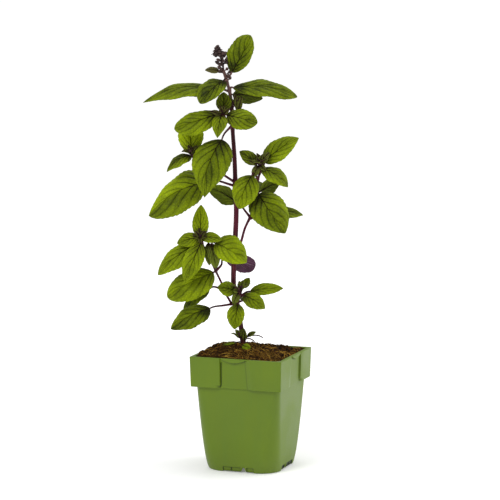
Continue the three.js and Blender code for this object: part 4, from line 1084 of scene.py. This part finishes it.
def swelling(path, most):
    """How much thicker a stem is near each joint: most * exp(-(distance / JOINT_REACH)^2)."""
    nearest = np.linalg.norm(path[:, None] - joints[None], axis=-1).min(axis=1)
    return most * np.exp(-(nearest / JOINT_REACH) ** 2)


def add_stem(through, along, steps, sides, lobes, age):
    """Adds a tube with the radii given at even steps; age is 0 on wood and 1 on new growth."""
    path = smooth_path(through, steps)
    share = np.linspace(0, 1, len(path))
    radii = np.interp(share, np.linspace(0, 1, len(along)), along)
    radii = radii + swelling(path, 0.3 * along[-1])
    radii[-1] *= 0.5
    ages = (age[0] + (age[1] - age[0]) * share)[:, None]
    stem_skin.add_rings(placed(tube(path, radii, sides, lobes)), age=ages)


add_stem(STEM, STEM_RADII, steps=200, sides=24, lobes=0.07, age=(0, 1))
for first, last, path in BRANCHES.values():
    add_stem(path, (first, last), steps=10 * len(path), sides=16, lobes=0.07, age=(0.35, 0.9))
for leaf in LEAVES.values():
    base, tip = np.array(leaf["base"]), np.array(leaf["tip"])
    inward = unit(tip - base)
    through = [leaf["start"], *([leaf["via"]] if "via" in leaf else []), base - 2.5 * inward,
               base + 1.2 * inward]
    radius = STALK_RADIUS * (SMALL_STALK if leaf.get("small") else 1)
    add_stem(through, (1.3 * radius, 0.75 * radius), steps=20, sides=12, lobes=0.03,
             age=(0.55, 0.95))
print("stem points:", stem_skin.count)

# %% [markdown]
# ## A leaf blade
#
# A basil leaf is an oval with a drawn-out tip, domed between its veins, with shallow teeth that
# point to the tip. It could be a flat card with a picture on it, but a card looks wrong from the
# side. Here each blade is two sheets on one grid: rows along the leaf, columns across it. Each
# point also remembers where it lies on the leaf, and the material uses those numbers to draw the
# veins in the very places where the shape has its grooves.

# %% The blade's outline
OUTLINE_POWER = 0.62                # how the outline widens from the base
OUTLINE_TIP = 0.8                   # how it narrows to the tip
TOOTH_APART = 5.5                   # mm
TOOTH_DEEP = 0.03                   # of the half width
LEAST_HALF = 0.06                   # half width at the very tip (mm)
BASE_HALF = 0.55                    # and how much more it is at the very base


def half_width(leaf, length, share, across, tooth_start):
    """How far the blade reaches beside its rib (mm), row by row.

    It rises with the share of the length to the power full and falls to the tip with the power
    point, each with its own value on either half, times the teeth.
    """
    full, point, halves = (
        np.where(across > 0, *np.broadcast_to(leaf.get(key, usual), 2)[::-1])
        for key, usual in (("full", OUTLINE_POWER), ("point", OUTLINE_TIP), ("halves", 1)))
    widest = full / (full + point)
    outline = (share / widest) ** full * ((1 - share) / (1 - widest)) ** point
    teeth = max(5, round(length / TOOTH_APART)) * share + tooth_start
    tooth = (teeth % 1) ** 1.5 * (1 - teeth % 1) ** 0.4
    outline = outline * (1 + TOOTH_DEEP * (3.2 * tooth - 1) * np.abs(across) ** 3)
    return np.maximum(outline * halves * leaf["width"] / 2, BASE_HALF * (1 - share) + LEAST_HALF)


# %% The blade's veins, domes and waves
VEINS = 5
SLANT = 0.5
VEIN_START = (0.1, 0.3)             # on the right and on the left half
VEIN_STRAY = 0.16
CURL = 0.32                         # this and the next three are shares of the half width
WAVE = 0.05
RIPPLE = 0.035
DOME = 0.15
SWAY = 0.012                        # this and the next are shares of the length
TIP_DROP = 0.05
RIB_GROOVE = 0.35                   # how deep the rib lies in the upper side (mm)
BLISTER = 0.1                       # how high the skin puckers between its finest veins
BLISTER_APART = 2.6


def vein_phase(share, across, seed):
    """A number that is whole on every side vein: it falls towards the edge, so veins slant."""
    stray = value_noise(5 * share + 9, 2.2 * across + 9, seed) * np.abs(across)
    regular = VEINS * (share ** 0.6 - SLANT * np.abs(across) ** 1.1)
    return regular + np.where(across > 0, *VEIN_START) + VEIN_STRAY * stray


def blade_lift(fold, length, share, across, half, phase, wave_start, seed):
    """How high each point lies over a flat blade (mm).

    The blade is folded up along its rib. Its edges curl down and wave, it is domed between the
    veins, the rib is sunk, the skin puckers and the tip drops.
    """
    bow, reach, flat = 4 * share * (1 - share), np.abs(across), across * half
    ridge = np.abs(phase % 1 - 0.5) * 2
    fade = np.clip(bow * 1.6, 0, 1) * reach ** 0.5 * (1.05 - reach)
    dome = DOME * (1 - ridge ** 2.2) * fade
    wave = WAVE * np.sin(5 * np.pi * share + 1.5 * np.sign(across)) * reach ** 2
    wave = wave + RIPPLE * np.sin(11 * share + wave_start[0] + 2 * (across > 0)) * reach ** 3
    lift = half * (fold * reach - CURL * reach ** 2 + wave + dome)
    lift = lift - RIB_GROOVE * np.exp(-(flat / 0.8) ** 2) * np.clip(1.3 - share, 0, 1)
    lift = lift + SWAY * length * np.sin(6 * share + wave_start[1]) * bow
    lift = lift - TIP_DROP * length * share ** 5
    blister = value_noise(share * length / BLISTER_APART + 20, flat / BLISTER_APART + 20,
                          seed + 50)
    return lift + BLISTER * blister * np.clip(half / 8, 0, 1) * (1.1 - reach)


# %% The blade's two sheets
CROWDED = 1.35                      # above 1, columns crowd towards the rib
BLADE_THICK = 0.42                  # mm
RIB_THICK = 1.0                     # how far the rib stands out of the lower side
FLUSH_REACH = 0.2                   # how far the purple flush reaches from the base, of the length


def blade_sheets(leaf, grid, seed):
    """The points of a blade's two sheets, its faces, and where each point lies on the leaf.

    A point is base + along * length * axis + side * (across * half + bend * length * bow)
    + normal * (arch * length * bow + lift), and half the thickness to either side of that. The
    bow is 4 s (1 - s), with s the share of the length.
    """
    rows, half_columns = grid
    chance = np.random.default_rng(seed)
    base, tip = np.array(leaf["base"], float), np.array(leaf["tip"], float)
    length = np.linalg.norm(tip - base)
    axis = (tip - base) / length
    face = np.array(leaf["face"], float)
    normal = unit(face - face.dot(axis) * axis)
    beside = np.cross(normal, axis)

    share = np.linspace(0, 1, rows + 1)[:, None]
    place = np.linspace(-1, 1, 2 * half_columns + 1)[None]
    across = np.sign(place) * np.abs(place) ** CROWDED
    half = half_width(leaf, length, share, across, chance.uniform(0, 1))
    phase = vein_phase(share, across, seed)
    lift = blade_lift(leaf["fold"], length, share, across, half, phase, chance.uniform(0, 6.3, 2),
                      seed)
    bow = 4 * share * (1 - share)
    flat = across * half
    middle = (base + share[..., None] * length * axis
              + (flat + leaf.get("bend", 0) * length * bow)[..., None] * beside
              + (leaf["arch"] * length * bow + lift)[..., None] * normal)

    ahead, over = np.gradient(middle, axis=0), np.gradient(middle, axis=1)
    up = unit(np.cross(ahead, over))
    thin = BLADE_THICK * (1 - 0.6 * np.abs(across) ** 4)
    rib = RIB_THICK * (1 - share) ** 1.1 * np.exp(-(flat / 0.55) ** 2)
    sheets = np.stack([middle + up * (thin / 2)[..., None],
                       middle - up * (thin / 2 + rib)[..., None]])
    where = dict(along=share, across=across, flat=flat, run=share * length, phase=phase,
                 under=np.array([0, 1])[:, None, None])
    where = {key: np.broadcast_to(value, sheets.shape[:3]).ravel() for key, value in where.items()}
    return placed(sheets.reshape(-1, 3)), sheet_faces(*flat.shape), where


def add_blade(skin, leaf, grid, seed):
    """Adds one blade to a skin, with its place numbers, its tone and purple and its ink."""
    points, faces, where = blade_sheets(leaf, grid, seed)
    tone, purple, flush = leaf["look"]
    stain = purple + flush * np.exp(-(where["along"] / FLUSH_REACH) ** 2)
    tone = tone + np.interp(where["across"], (-0.12, 0.12), leaf.get("sides", (0, 0)))
    skin.add(points, faces, tone=tone, inked=leaf.get("ink", 1.0), purple=np.clip(stain, 0, 2),
             **where)


# %% [markdown]
# ## Leaf green, veins and purple
#
# All blades share one recipe, so it is a node group: it reads where a point lies on its leaf and
# gives a colour, a roughness and a height. The mid rib is a band round the middle line. A side
# vein is wherever the phase is a whole number. The finest net of veins is the border between
# cells of a Voronoi pattern laid flat on the blade. Each leaf material sets its own greens.

# %% The leaf group: where the veins are
LEAF_COLOURS = ("Dark", "Light", "Purple", "Underside", "Back Veins")
NET_SCALE = 0.42                    # cells of the finest net in each mm

recipe, given, out = new_group(
    "leaf_pattern",
    [(colour, "NodeSocketColor", (0, 0, 0, 1)) for colour in LEAF_COLOURS],
    [("Color", "NodeSocketColor"), ("Roughness", "NodeSocketFloat"),
     ("Height", "NodeSocketFloat")])
along, across, flat, run = map(recipe.attribute, ("along", "across", "flat", "run"))
under, tone, stain, inked = map(recipe.attribute, ("under", "tone", "purple", "inked"))
reach = recipe.math("ABSOLUTE", across)
off_rib = recipe.math("ABSOLUTE", flat)
rib_wide = recipe.between(along, 0.0, 1.0, 0.72, 0.2)
rib = recipe.between(off_rib, rib_wide, recipe.times(rib_wide, 0.4))
off_vein = recipe.math("PINGPONG", recipe.attribute("phase"), 0.5)
vein_wide = recipe.between(along, 0.5, 0.0, 0.043, 0.075)
vein_wide = recipe.math("MULTIPLY_ADD", reach, -0.025, vein_wide)
side_vein = recipe.between(off_vein, vein_wide, recipe.times(vein_wide, 0.4))
side_vein = recipe.times(side_vein, recipe.between(reach, 1.0, 0.4, 0.0, 0.95))
veins = recipe.math("MAXIMUM", rib, side_vein)
laid = recipe.node("ShaderNodeCombineXYZ", {"X": flat, "Y": run}).outputs["Vector"]
cells = recipe.node("ShaderNodeTexVoronoi", {"Vector": laid, "Scale": NET_SCALE},
                    feature="DISTANCE_TO_EDGE").outputs["Distance"]
net = recipe.between(cells, 0.13, 0.02)
patchy, grain = add_mottle(recipe, 60)

# %% The leaf group: its colours
light_share = recipe.math("MULTIPLY_ADD", patchy, 0.28, recipe.math("SUBTRACT", tone, 0.26))
light_share = recipe.math("MULTIPLY_ADD", grain, 0.5, light_share)
# Painted light and shade: a painted highlight on the domes between the veins and along the edge,
# and painted shade at the base.
for painted_light in (recipe.between(off_vein, 0.0, 0.3, -0.09, 0.07),      # on the domes
                recipe.between(reach, 0.3, 1.0, -0.07, 0.16),         # along the edge
                recipe.between(along, 0.35, 0.0, 0.02, -0.26)):       # and darker at the base
    light_share = recipe.math("ADD", light_share, painted_light)
light_share = recipe.math("SUBTRACT", light_share, 0.25, clamp=True)
colour = recipe.blend(light_share, given["Dark"], given["Light"])
darker = recipe.blend(0.45, colour, given["Dark"])
colour = recipe.blend(recipe.times(net, 0.55), colour, darker)
near_vein = recipe.math("MINIMUM", off_vein, recipe.times(off_rib, 0.3))
stain = recipe.times(stain, recipe.between(near_vein, 0.32, 0.02, 0.4, 1.0))
colour = recipe.blend(stain, colour, given["Purple"])
vein_share = recipe.times(veins, recipe.between(along, 0.9, 0.1, 0.3, 1.0))
colour = recipe.blend(recipe.times(vein_share, inked), colour, given["Purple"])
back = recipe.blend(recipe.between(patchy, 0.2, 0.8, 0.0, 0.3), given["Underside"], colour)
back = recipe.blend(recipe.times(veins, 0.75), back, given["Back Veins"])
recipe.feed(recipe.blend(under, colour, back), out["Color"])

# %% The leaf group: its gloss and height
rough = recipe.math("MULTIPLY_ADD", grain, 0.22, 0.36)
recipe.feed(recipe.math("MULTIPLY_ADD", under, 0.18, rough), out["Roughness"])
sunk = recipe.math("MULTIPLY_ADD", veins, -1.0, recipe.times(net, -0.3))
side = recipe.math("MULTIPLY_ADD", under, -2.0, 1.0)
height = recipe.math("MULTIPLY_ADD", sunk, side, recipe.times(grain, 0.35))
recipe.feed(height, out["Height"])
leaf_group = recipe.tree


# %% The leaf finishes
def leaf_material(name, *codes):
    """A leaf finish: the shared pattern with its own colours, in the order of LEAF_COLOURS."""
    material, recipe = new_material(name)
    colours = dict(zip(LEAF_COLOURS, codes))
    pattern = recipe.node("ShaderNodeGroup", colours, node_tree=leaf_group).outputs
    recipe.finish(pattern["Color"], pattern["Roughness"], 0.09, pattern["Height"],
                  strength=0.9, distance=0.0008)
    return material


green_leaf = leaf_material("green_leaf_skin", "262F00", "92A604", "1E0C0C", "56621A", "1E0C0C")
purple_leaf = leaf_material("purple_leaf_skin", "3E3A20", "6E6A34", "1A0810", "6A465E", "B098A4")
young_leaf = leaf_material("young_leaf_skin", "2A3008", "85962A", "2C1218", "553A40", "2C1218")

# %% Lay the blades
LARGE_GRID = (76, 18)               # rows, and columns on each half
SMALL_GRID = (44, 12)
SMALL_WIDTH = 17
PURPLE_LEAVES = ("leaf_purple_back", "leaf_top_small")
for seed, (name, leaf) in enumerate(LEAVES.items()):
    skin = Skin()
    add_blade(skin, leaf, SMALL_GRID if leaf["width"] < SMALL_WIDTH else LARGE_GRID, seed)
    purple = name in PURPLE_LEAVES
    skin.piece(name + "_blade", purple_leaf if purple else green_leaf,
               "purple_leaf" if purple else "green_leaf", name)
print("blades:", len(LEAVES))

# %% [markdown]
# ## Shoot tips
#
# At the end of every branch sits a bunch of unfolding leaves: crossed pairs, each smaller and
# steeper than the one outside it, folded along their ribs round a bud. They are the same blades
# as the big ones, only small, so the blade formula is used again.

# %% Where the bunches are
SHOOT_TIPS = {
    # stalk start, middle, the way it grows, length of the outer leaves, turn, purple
    "shoot_tip_crown": ([-30.4, -8.1, 401.2], [-32.5, -13, 407.5], [-0.3, -0.6, 0.7], 9, 0.6, 1.3),
    "shoot_tip_left": ([-63, 1.1, 353.4], [-68, -4, 361], [-0.2, -0.6, 0.8], 12, 0.6, 1.1),
    "shoot_tip_right": ([12.7, 4.2, 342.8], [10.5, -2.5, 348.5], [0, -0.6, 0.9], 15, 0.9, 0.95),
    "shoot_tip_rosette": ([-56.3, -8.7, 258.8], [-58, -14, 266], [0, -0.5, 0.9], 11.5, 0.6, 1.2),
    "shoot_tip_inner": ([-42.5, -2.5, 231], [-45, 1, 240], [-0.1, 0.1, 0.9], 18, 0.6, 0.3),
    "shoot_tip_low": ([-13.3, -3.4, 197], [-13, -6, 204], [0.1, -0.3, 0.9], 13, 0.6, 0.5),
    "shoot_tip_axil": ([-22, 6, 409], [-18.5, 3, 416], [0.3, -0.3, 0.9], 13, 0.6, 1.0),
    "shoot_foot": ([-10, 6, 146], [-14.2, 0.8, 150], [-0.2, -0.3, 1], 10, 0.6, 0.5),
}
# Young leaves seen one by one in front of the bunches: base, tip and width.
SINGLE_YOUNG = {
    "shoot_tip_right": [([10, -3.5, 349], [20.5, -6, 362], 10),
        ([8.5, -4, 347], [2, -7, 333.5], 9.5), ([8.5, -5, 349.5], [12.5, -7, 358.5], 6),
        ([7, -5, 348], [-2.5, -7, 352.5], 7), ([10, -5, 347], [17, -8, 341], 6.5),
        ([9, -5, 349], [6, -8, 357], 5)],
    "shoot_tip_low": [([-14.5, -8, 201.5], [-20.5, -10, 188.5], 9.5),
        ([-12.5, -6, 204.5], [-9, -7, 216], 7.5), ([-14.5, -9, 203], [-21, -11, 205], 6)],
    "shoot_tip_axil": [([-15, 1, 408], [-17.5, -1, 425.5], 6),
        ([-14.5, 0, 408], [-10.5, -2, 425], 6.5)],
    "shoot_tip_inner": [([-42.5, -1, 234], [-45, -3, 257], 12),
        ([-41, -2, 236], [-35, -5, 253], 10), ([-43, -2, 235], [-51, -5, 248], 9),
        ([-45.5, -9.5, 258.5], [-39.5, -15, 230.5], 15),
        ([-48.5, -8, 259], [-47.5, -12, 233.5], 10.5)],
    "shoot_foot": [([-12.5, 1, 147.5], [-16.5, -1, 158], 6),
        ([-7.3, 2, 144], [-7.8, 0, 158.5], 5.5), ([-4.5, 3, 149.5], [5.5, 2, 155], 5.5)],
    "shoot_tip_crown": [([-34, -15, 405], [-46, -18, 409.5], 6.5),
        ([-32, -15, 404.5], [-41.5, -18, 402], 5.5), ([-31, -14, 405.5], [-24.5, -16, 412], 6),
        ([-32.5, -15, 406], [-35, -16, 415], 5.5)],
    "shoot_tip_left": [([-63.5, -4, 360], [-70, -7, 368], 7),
        ([-63, -4, 361], [-57.5, -7, 369.5], 6.5)],
    "shoot_tip_rosette": [([-58.5, -15, 266], [-63, -19, 274], 5.5),
        ([-57.5, -15, 266], [-52.5, -19, 273.5], 5), ([-58, -16, 266], [-57.5, -21, 259.5], 5),
        ([-58.5, -15, 266], [-66, -18, 268], 6), ([-57.5, -15, 266], [-50, -18, 268], 6)],
}

# %% Unfold the bunches
PAIRS = [
    # length, how far it leans out, how far it rises, all over the outer leaves' length
    (1.0, 0.8, 0.62), (0.82, 0.5, 0.75), (0.6, 0.26, 0.66), (0.42, 0.12, 0.5),
]
YOUNG_GRID = (26, 7)
SINGLE_GRID = (32, 9)


def round_axis(middle, grows, angle, outward, onward):
    """A point at a distance and an angle round an axis, and further along it."""
    up = unit(np.array(grows, float))
    first = unit(np.cross([0.2, 1, 0.1], up))
    second = np.cross(up, first)
    spread = outward * (math.cos(angle) * first + math.sin(angle) * second)
    return np.array(middle, float) + spread + onward * up


for seed, (name, (start, middle, grows, reach, turn, purple)) in enumerate(SHOOT_TIPS.items()):
    skin = Skin()
    for pair, (long, out_by, up_by) in enumerate(PAIRS):
        for half_turn in (0, 1):
            angle = turn + pair * np.pi / 2 + half_turn * np.pi + rng.uniform(-0.2, 0.2)
            size = reach * rng.uniform(0.88, 1.12)
            leaf = dict(
                base=round_axis(middle, grows, angle, 0.7, -0.6 - 0.2 * pair),
                tip=round_axis(middle, grows, angle, out_by * size, up_by * size),
                face=round_axis([0, 0, 0], grows, angle, -0.8, 0.5),
                width=(0.62 - 0.04 * pair) * long * size, arch=0.1, fold=0.5 + 0.12 * pair,
                look=(0.68 - 0.08 * pair, purple * (1 + 0.25 * pair), 0.6))
            add_blade(skin, leaf, YOUNG_GRID, 100 + 10 * seed + 2 * pair + half_turn)
    for single, (base, tip, width) in enumerate(SINGLE_YOUNG[name]):
        leaf = dict(base=base, tip=tip, face=[0, -1, 0.5], width=width, arch=0.1, fold=0.35,
                    look=(0.6, purple, 1.0))
        add_blade(skin, leaf, SINGLE_GRID, 400 + 10 * seed + single)
    skin.piece(name + "_leaves", young_leaf, "young_leaf", name)
    start, middle = np.array(start), np.array(middle, float)
    add_stem([start, (start + middle) / 2, middle + 1.5 * unit(np.array(grows, float))],
             (0.95, 0.9), steps=12, sides=10, lobes=0.03, age=(0.7, 1))
print("shoot tips:", len(SHOOT_TIPS))

# %% [markdown]
# ## The flower spike
#
# On top stands a short spike whose flowers are nearly over: small brown-purple cups in whorls
# round a thin stalk, each with a pointed bract under it. A cup is a profile carried along a
# short path. Its radius swells quickly and narrows to a small, puckered mouth, which is shut.

# %% Where the cups sit
SPIKE_PATH = [[-31.4, 3, 455.6], [-31.9, 2.6, 461.8], [-34.8, 2.2, 469], [-37.6, 1.6, 474.6],
              [-38.6, 1.2, 480.5]]
CUPS = [
    # where a cup on the lower spike sits (mm), and its size
    ([-36.5, 0.5, 458.1], 1.4), ([-39.4, 1, 463.9], 1.3), ([-37.6, -1, 466.7], 1.4),
    ([-27, 1.5, 467.7], 1.6), ([-28.2, 0.5, 463.6], 1.5), ([-34.3, -1, 456.2], 1.3),
    ([-36.2, -2.2, 461.5], 1.3), ([-27.4, 3, 456.2], 1.3), ([-32.7, -1.5, 469.7], 1.4),
    ([-34, 7.5, 462], 1.5), ([-33, 8.5, 467.4], 1.5), ([-31, -2.4, 465.6], 1.2),
    ([-36.8, 2.5, 453.6], 1.2), ([-23.4, 2, 453.6], 1.2), ([-25.8, 0, 449], 1.3),
    ([-23.6, 1.5, 446.3], 1.2), ([-30, 0.5, 443.8], 1.2), ([-28.5, 1.8, 474], 1.6),
]
CONE = 22                           # cups in the dense head on top
CONE_TURN = 2.4                     # radians from each of its cups to the next
CONE_SPAN = (0.8, 0.18)             # where it starts along the axis, and how long it is

# %% The spike's stalk, and a cup and a bract on it
BRACT_GRID = (12, 4)
CUP_STALK = 0.42                    # radius of a cup's stalk (mm)
CUP_SWELL = 1.15                    # and how far the cup swells beyond it, times its size
axis = smooth_path(STEM[-4:-1] + SPIKE_PATH, 120)
spike_skin = Skin()
path = axis[axis[:, 2] > 455]
spike_skin.add_rings(placed(tube(path, np.linspace(1.1, 0.8, len(path)), 12, 0.06)), shade=0.35)


def add_cup(foot, place, size, shade):
    """A flower's cup on its stalk, from the spike's axis to 1.3 sizes past the cup's middle.

    The radius is CUP_STALK + CUP_SWELL * size * exp(-((t - 0.7) / 0.24)^2), with a shut end.
    """
    outward = unit(place - foot)
    bend = (foot + place) / 2 + [0, 0, -0.5]
    path = smooth_path([foot, bend, place + 1.3 * size * outward], 14)
    t = np.linspace(0, 1, len(path))
    swell = CUP_STALK + CUP_SWELL * size * np.exp(-((t - 0.7) / 0.24) ** 2)
    swell[-1] *= 0.4
    spike_skin.add_rings(placed(tube(path, swell, 9, 0.12)), shade=shade)


def add_bract(foot, place, size, shade):
    """A pointed bract: a small blade from the axis past the cup, a little under it."""
    outward = unit(place - foot)
    bract = dict(base=foot + 0.4 * outward, tip=place + [0, 0, -1.2] + 2.2 * size * outward,
                 face=[0.1 * outward[0], 0.1 * outward[1], 1], width=2.4 * size, arch=0.12,
                 fold=0.3)
    points, faces, _ = blade_sheets(bract, BRACT_GRID, 200)
    spike_skin.add(points, faces, shade=shade)


# %% Set the cups
for number, (place, size) in enumerate(CUPS):
    place = np.array(place, float)
    foot = axis[np.abs(axis[:, 2] - (place[2] - 0.45 * abs(place[0] + 32) - 0.5)).argmin()]
    add_cup(foot, place, size, rng.uniform(0.2, 0.9))
    if number % 2 == 0:
        add_bract(foot, place, size, rng.uniform(0, 0.5))
for number in range(CONE):
    share = number / (CONE - 1)
    foot = axis[int((CONE_SPAN[0] + CONE_SPAN[1] * share) * (len(axis) - 1))]
    angle = CONE_TURN * number
    out_by = (5.0 * (1 - share) ** 0.6 + 0.6) * rng.uniform(0.75, 1.25)
    place = foot + [out_by * math.cos(angle), out_by * math.sin(angle), 0.8 + 1.4 * share]
    size = (1.7 - 0.5 * share) * rng.uniform(0.7, 1.1)
    add_cup(foot, place, size, rng.uniform(0.1, 0.9))
    add_bract(foot, place, 1.15 * size, rng.uniform(0, 0.5))
print("cups:", len(CUPS) + CONE)

# %% [markdown]
# ## Stem, spike and hair finishes
#
# The stem is maroon, woody brown at the foot and fresher towards the tips, with pale streaks
# along its ribs. A noise stretched along the stem gives the streaks. The short stiff hairs are
# real geometry: each is a three-sided spike, and together they soften the stem's edge.

# %% Hairs on the younger stems
HAIRS = 2600
HAIR_LONG = (0.5, 1.3)              # mm
HAIR_RADIUS = 0.05
HAIR_SUNK = 0.1
HALF_RING = 6                       # points to the far side of a stalk's ring
hair_skin = Skin()
points = np.concatenate(stem_skin.points)
ages = np.concatenate(stem_skin.values["age"])
chosen = rng.choice(np.flatnonzero(ages > 0.3), HAIRS, replace=False)
roots = points[chosen] / MM
# A hair leaves its stem away from the middle of the ring of points round it.
before, after = np.maximum(chosen - HALF_RING, 0), np.minimum(chosen + HALF_RING, len(points) - 1)
away = roots - (points[before] + points[after]) / 2 / MM
too_near = np.linalg.norm(away, axis=1, keepdims=True) < 0.2
away = np.where(too_near, rng.normal(size=away.shape), away)
away = unit(away + 0.25 * rng.normal(size=away.shape))
side = unit(np.cross(away, [0.3, 0.5, 0.8]))
other = np.cross(away, side)
turns = (np.arange(3) * 2 * np.pi / 3)[None, :, None]
spread = np.cos(turns) * side[:, None] + np.sin(turns) * other[:, None]
long = rng.uniform(*HAIR_LONG, (HAIRS, 1))
feet = (roots - HAIR_SUNK * away)[:, None] + HAIR_RADIUS * spread
corner = np.concatenate([feet, (roots + long * away)[:, None]], axis=1)
faces = np.array([[0, 1, 3], [1, 2, 3], [2, 0, 3], [2, 1, 0]])
hair_skin.add(corner * MM, (), faces + 4 * np.arange(HAIRS)[:, None, None], age=0.9)
print("hairs:", HAIRS)

# %% The stem's finish
stem_finish, recipe = new_material("purple_stem")
age = recipe.attribute("age")
streak = recipe.streaks(squash=0.07, scale=900.0, detail=2.0)
patchy, grain = add_mottle(recipe, 90)
colour = recipe.blend(recipe.between(age, 0.0, 0.5), "40201C", "501428")
for share, code in ((recipe.between(age, 0.5, 0.9, 0.0, 0.75), "260F10"),
                    (recipe.between(patchy, 0.2, 1.0, 0.0, 0.5), "2C0F14"),
                    (recipe.between(recipe.up(), 0.4, 0.43, 0.0, 0.75), "6A504A"),
                    (recipe.between(streak, 0.55, 0.75, 0.0, 0.5), "8A4A48")):
    colour = recipe.blend(share, colour, code)
rough = recipe.between(grain, 0.3, 0.7, 0.42, 0.6)
recipe.finish(colour, rough, 0.12, streak, strength=0.35, distance=0.0004)
stem_skin.piece("stem_and_stalks", stem_finish, "stem_skin", "main_stem")
hair_skin.piece("stem_hairs", stem_finish, "stem_skin")

# %% The spike's finish
bract_finish, recipe = new_material("dry_bract")
patchy, grain = add_mottle(recipe, 300)
colour = recipe.blend(recipe.attribute("shade"), "180E10", "5A443E")
colour = recipe.blend(recipe.between(patchy, 0.3, 1.0, 0.0, 0.45), colour, "281C1E")
rough = recipe.between(grain, 0.3, 0.7, 0.6, 0.8)
recipe.finish(colour, rough, 0.3, grain, strength=0.5, distance=0.0004)
spike_skin.piece("flower_cups", bract_finish, "flower_bracts", "flower_spike")

# %% [markdown]
# ## Fallen leaves
#
# Two small leaves have dropped onto the mix. They lie where the frame has them and follow the
# slope of the mound.

# %% Lay the fallen leaves
FALLEN_GRID = (36, 10)
for seed, (name, (middle, long, width, turn, lift, face, tone)) in enumerate(FALLEN.items()):
    shares = np.array([-0.5, 0.5]) * long
    across = middle[0] + shares * math.cos(math.radians(turn))
    away = middle[1] + shares * math.sin(math.radians(turn))
    x, y, _ = placed(np.stack([across, away, 0 * away], axis=-1)).T / MM
    base, tip = np.stack([across, away, soil_height(x, y) + lift], axis=-1)
    leaf = dict(base=base, tip=tip, width=width, face=face, arch=0.04, fold=0.15,
                look=(tone, 0.0, 0.2))
    skin = Skin()
    add_blade(skin, leaf, FALLEN_GRID, 300 + seed)
    skin.piece(name + "_blade", green_leaf, "green_leaf", name)
print("fallen leaves:", len(FALLEN))

# %% [markdown]
# ## The floor
#
# The plant stands on a white surface that runs on without an edge, as on a studio table. The
# camera sees almost to the horizon, so the floor is a very wide disc: rings of points that lie
# further and further apart. The floor also glows a little, more away from the pot: painted light
# that keeps the far floor white.

# %% Lay the floor
FLOOR_RADII = np.array([0.05, 0.2, 0.8, 3, 12, 60])[:, None]      # m
FLOOR_SIDES = 64
FLOOR_LOW = -0.0003                 # m; just under the pot's feet
GLOW = (0.16, 0.56)                 # near the pot and from 1.6 m away, so the white has no edge

floor_finish, recipe = new_material("white_floor")
patchy, grain = add_mottle(recipe, 3)
away = recipe.node("ShaderNodeVectorMath", {0: recipe.place()}, operation="LENGTH")
recipe.finish(recipe.blend(patchy, "F4F4F4", "F8F8F8"),
              recipe.between(grain, 0.0, 1.0, 0.55, 0.65), 0.1)
shader = floor_finish.node_tree.nodes["Principled BSDF"].inputs
# The floor glows, weakly near the pot and more from 1.6 m away: painted light, though no lamp is
# there.
shader["Emission Color"].default_value = (1, 1, 1, 1)
recipe.feed(recipe.between(away.outputs["Value"], 0.0, 1.6, *GLOW), shader["Emission Strength"])

turns = np.linspace(0, 2 * np.pi, FLOOR_SIDES, endpoint=False)
disc = FLOOR_RADII[..., None] * np.stack([np.cos(turns), np.sin(turns), 0 * turns], axis=-1)
floor_points = np.concatenate([disc.reshape(-1, 3), [[0, 0, 0]]]) + [0, 0, FLOOR_LOW]
faces, _ = ring_faces(len(FLOOR_RADII), FLOOR_SIDES)
here = np.arange(FLOOR_SIDES)
middle = np.stack([0 * here + len(floor_points) - 1, here, (here + 1) % FLOOR_SIDES], axis=-1)
mesh = bpy.data.meshes.new("floor")
mesh.from_pydata(floor_points.tolist(), [], faces[:, ::-1].tolist() + middle.tolist())
mesh.materials.append(floor_finish)
floor = put("floor", mesh)

# %% Update the scene
bpy.context.view_layer.update()
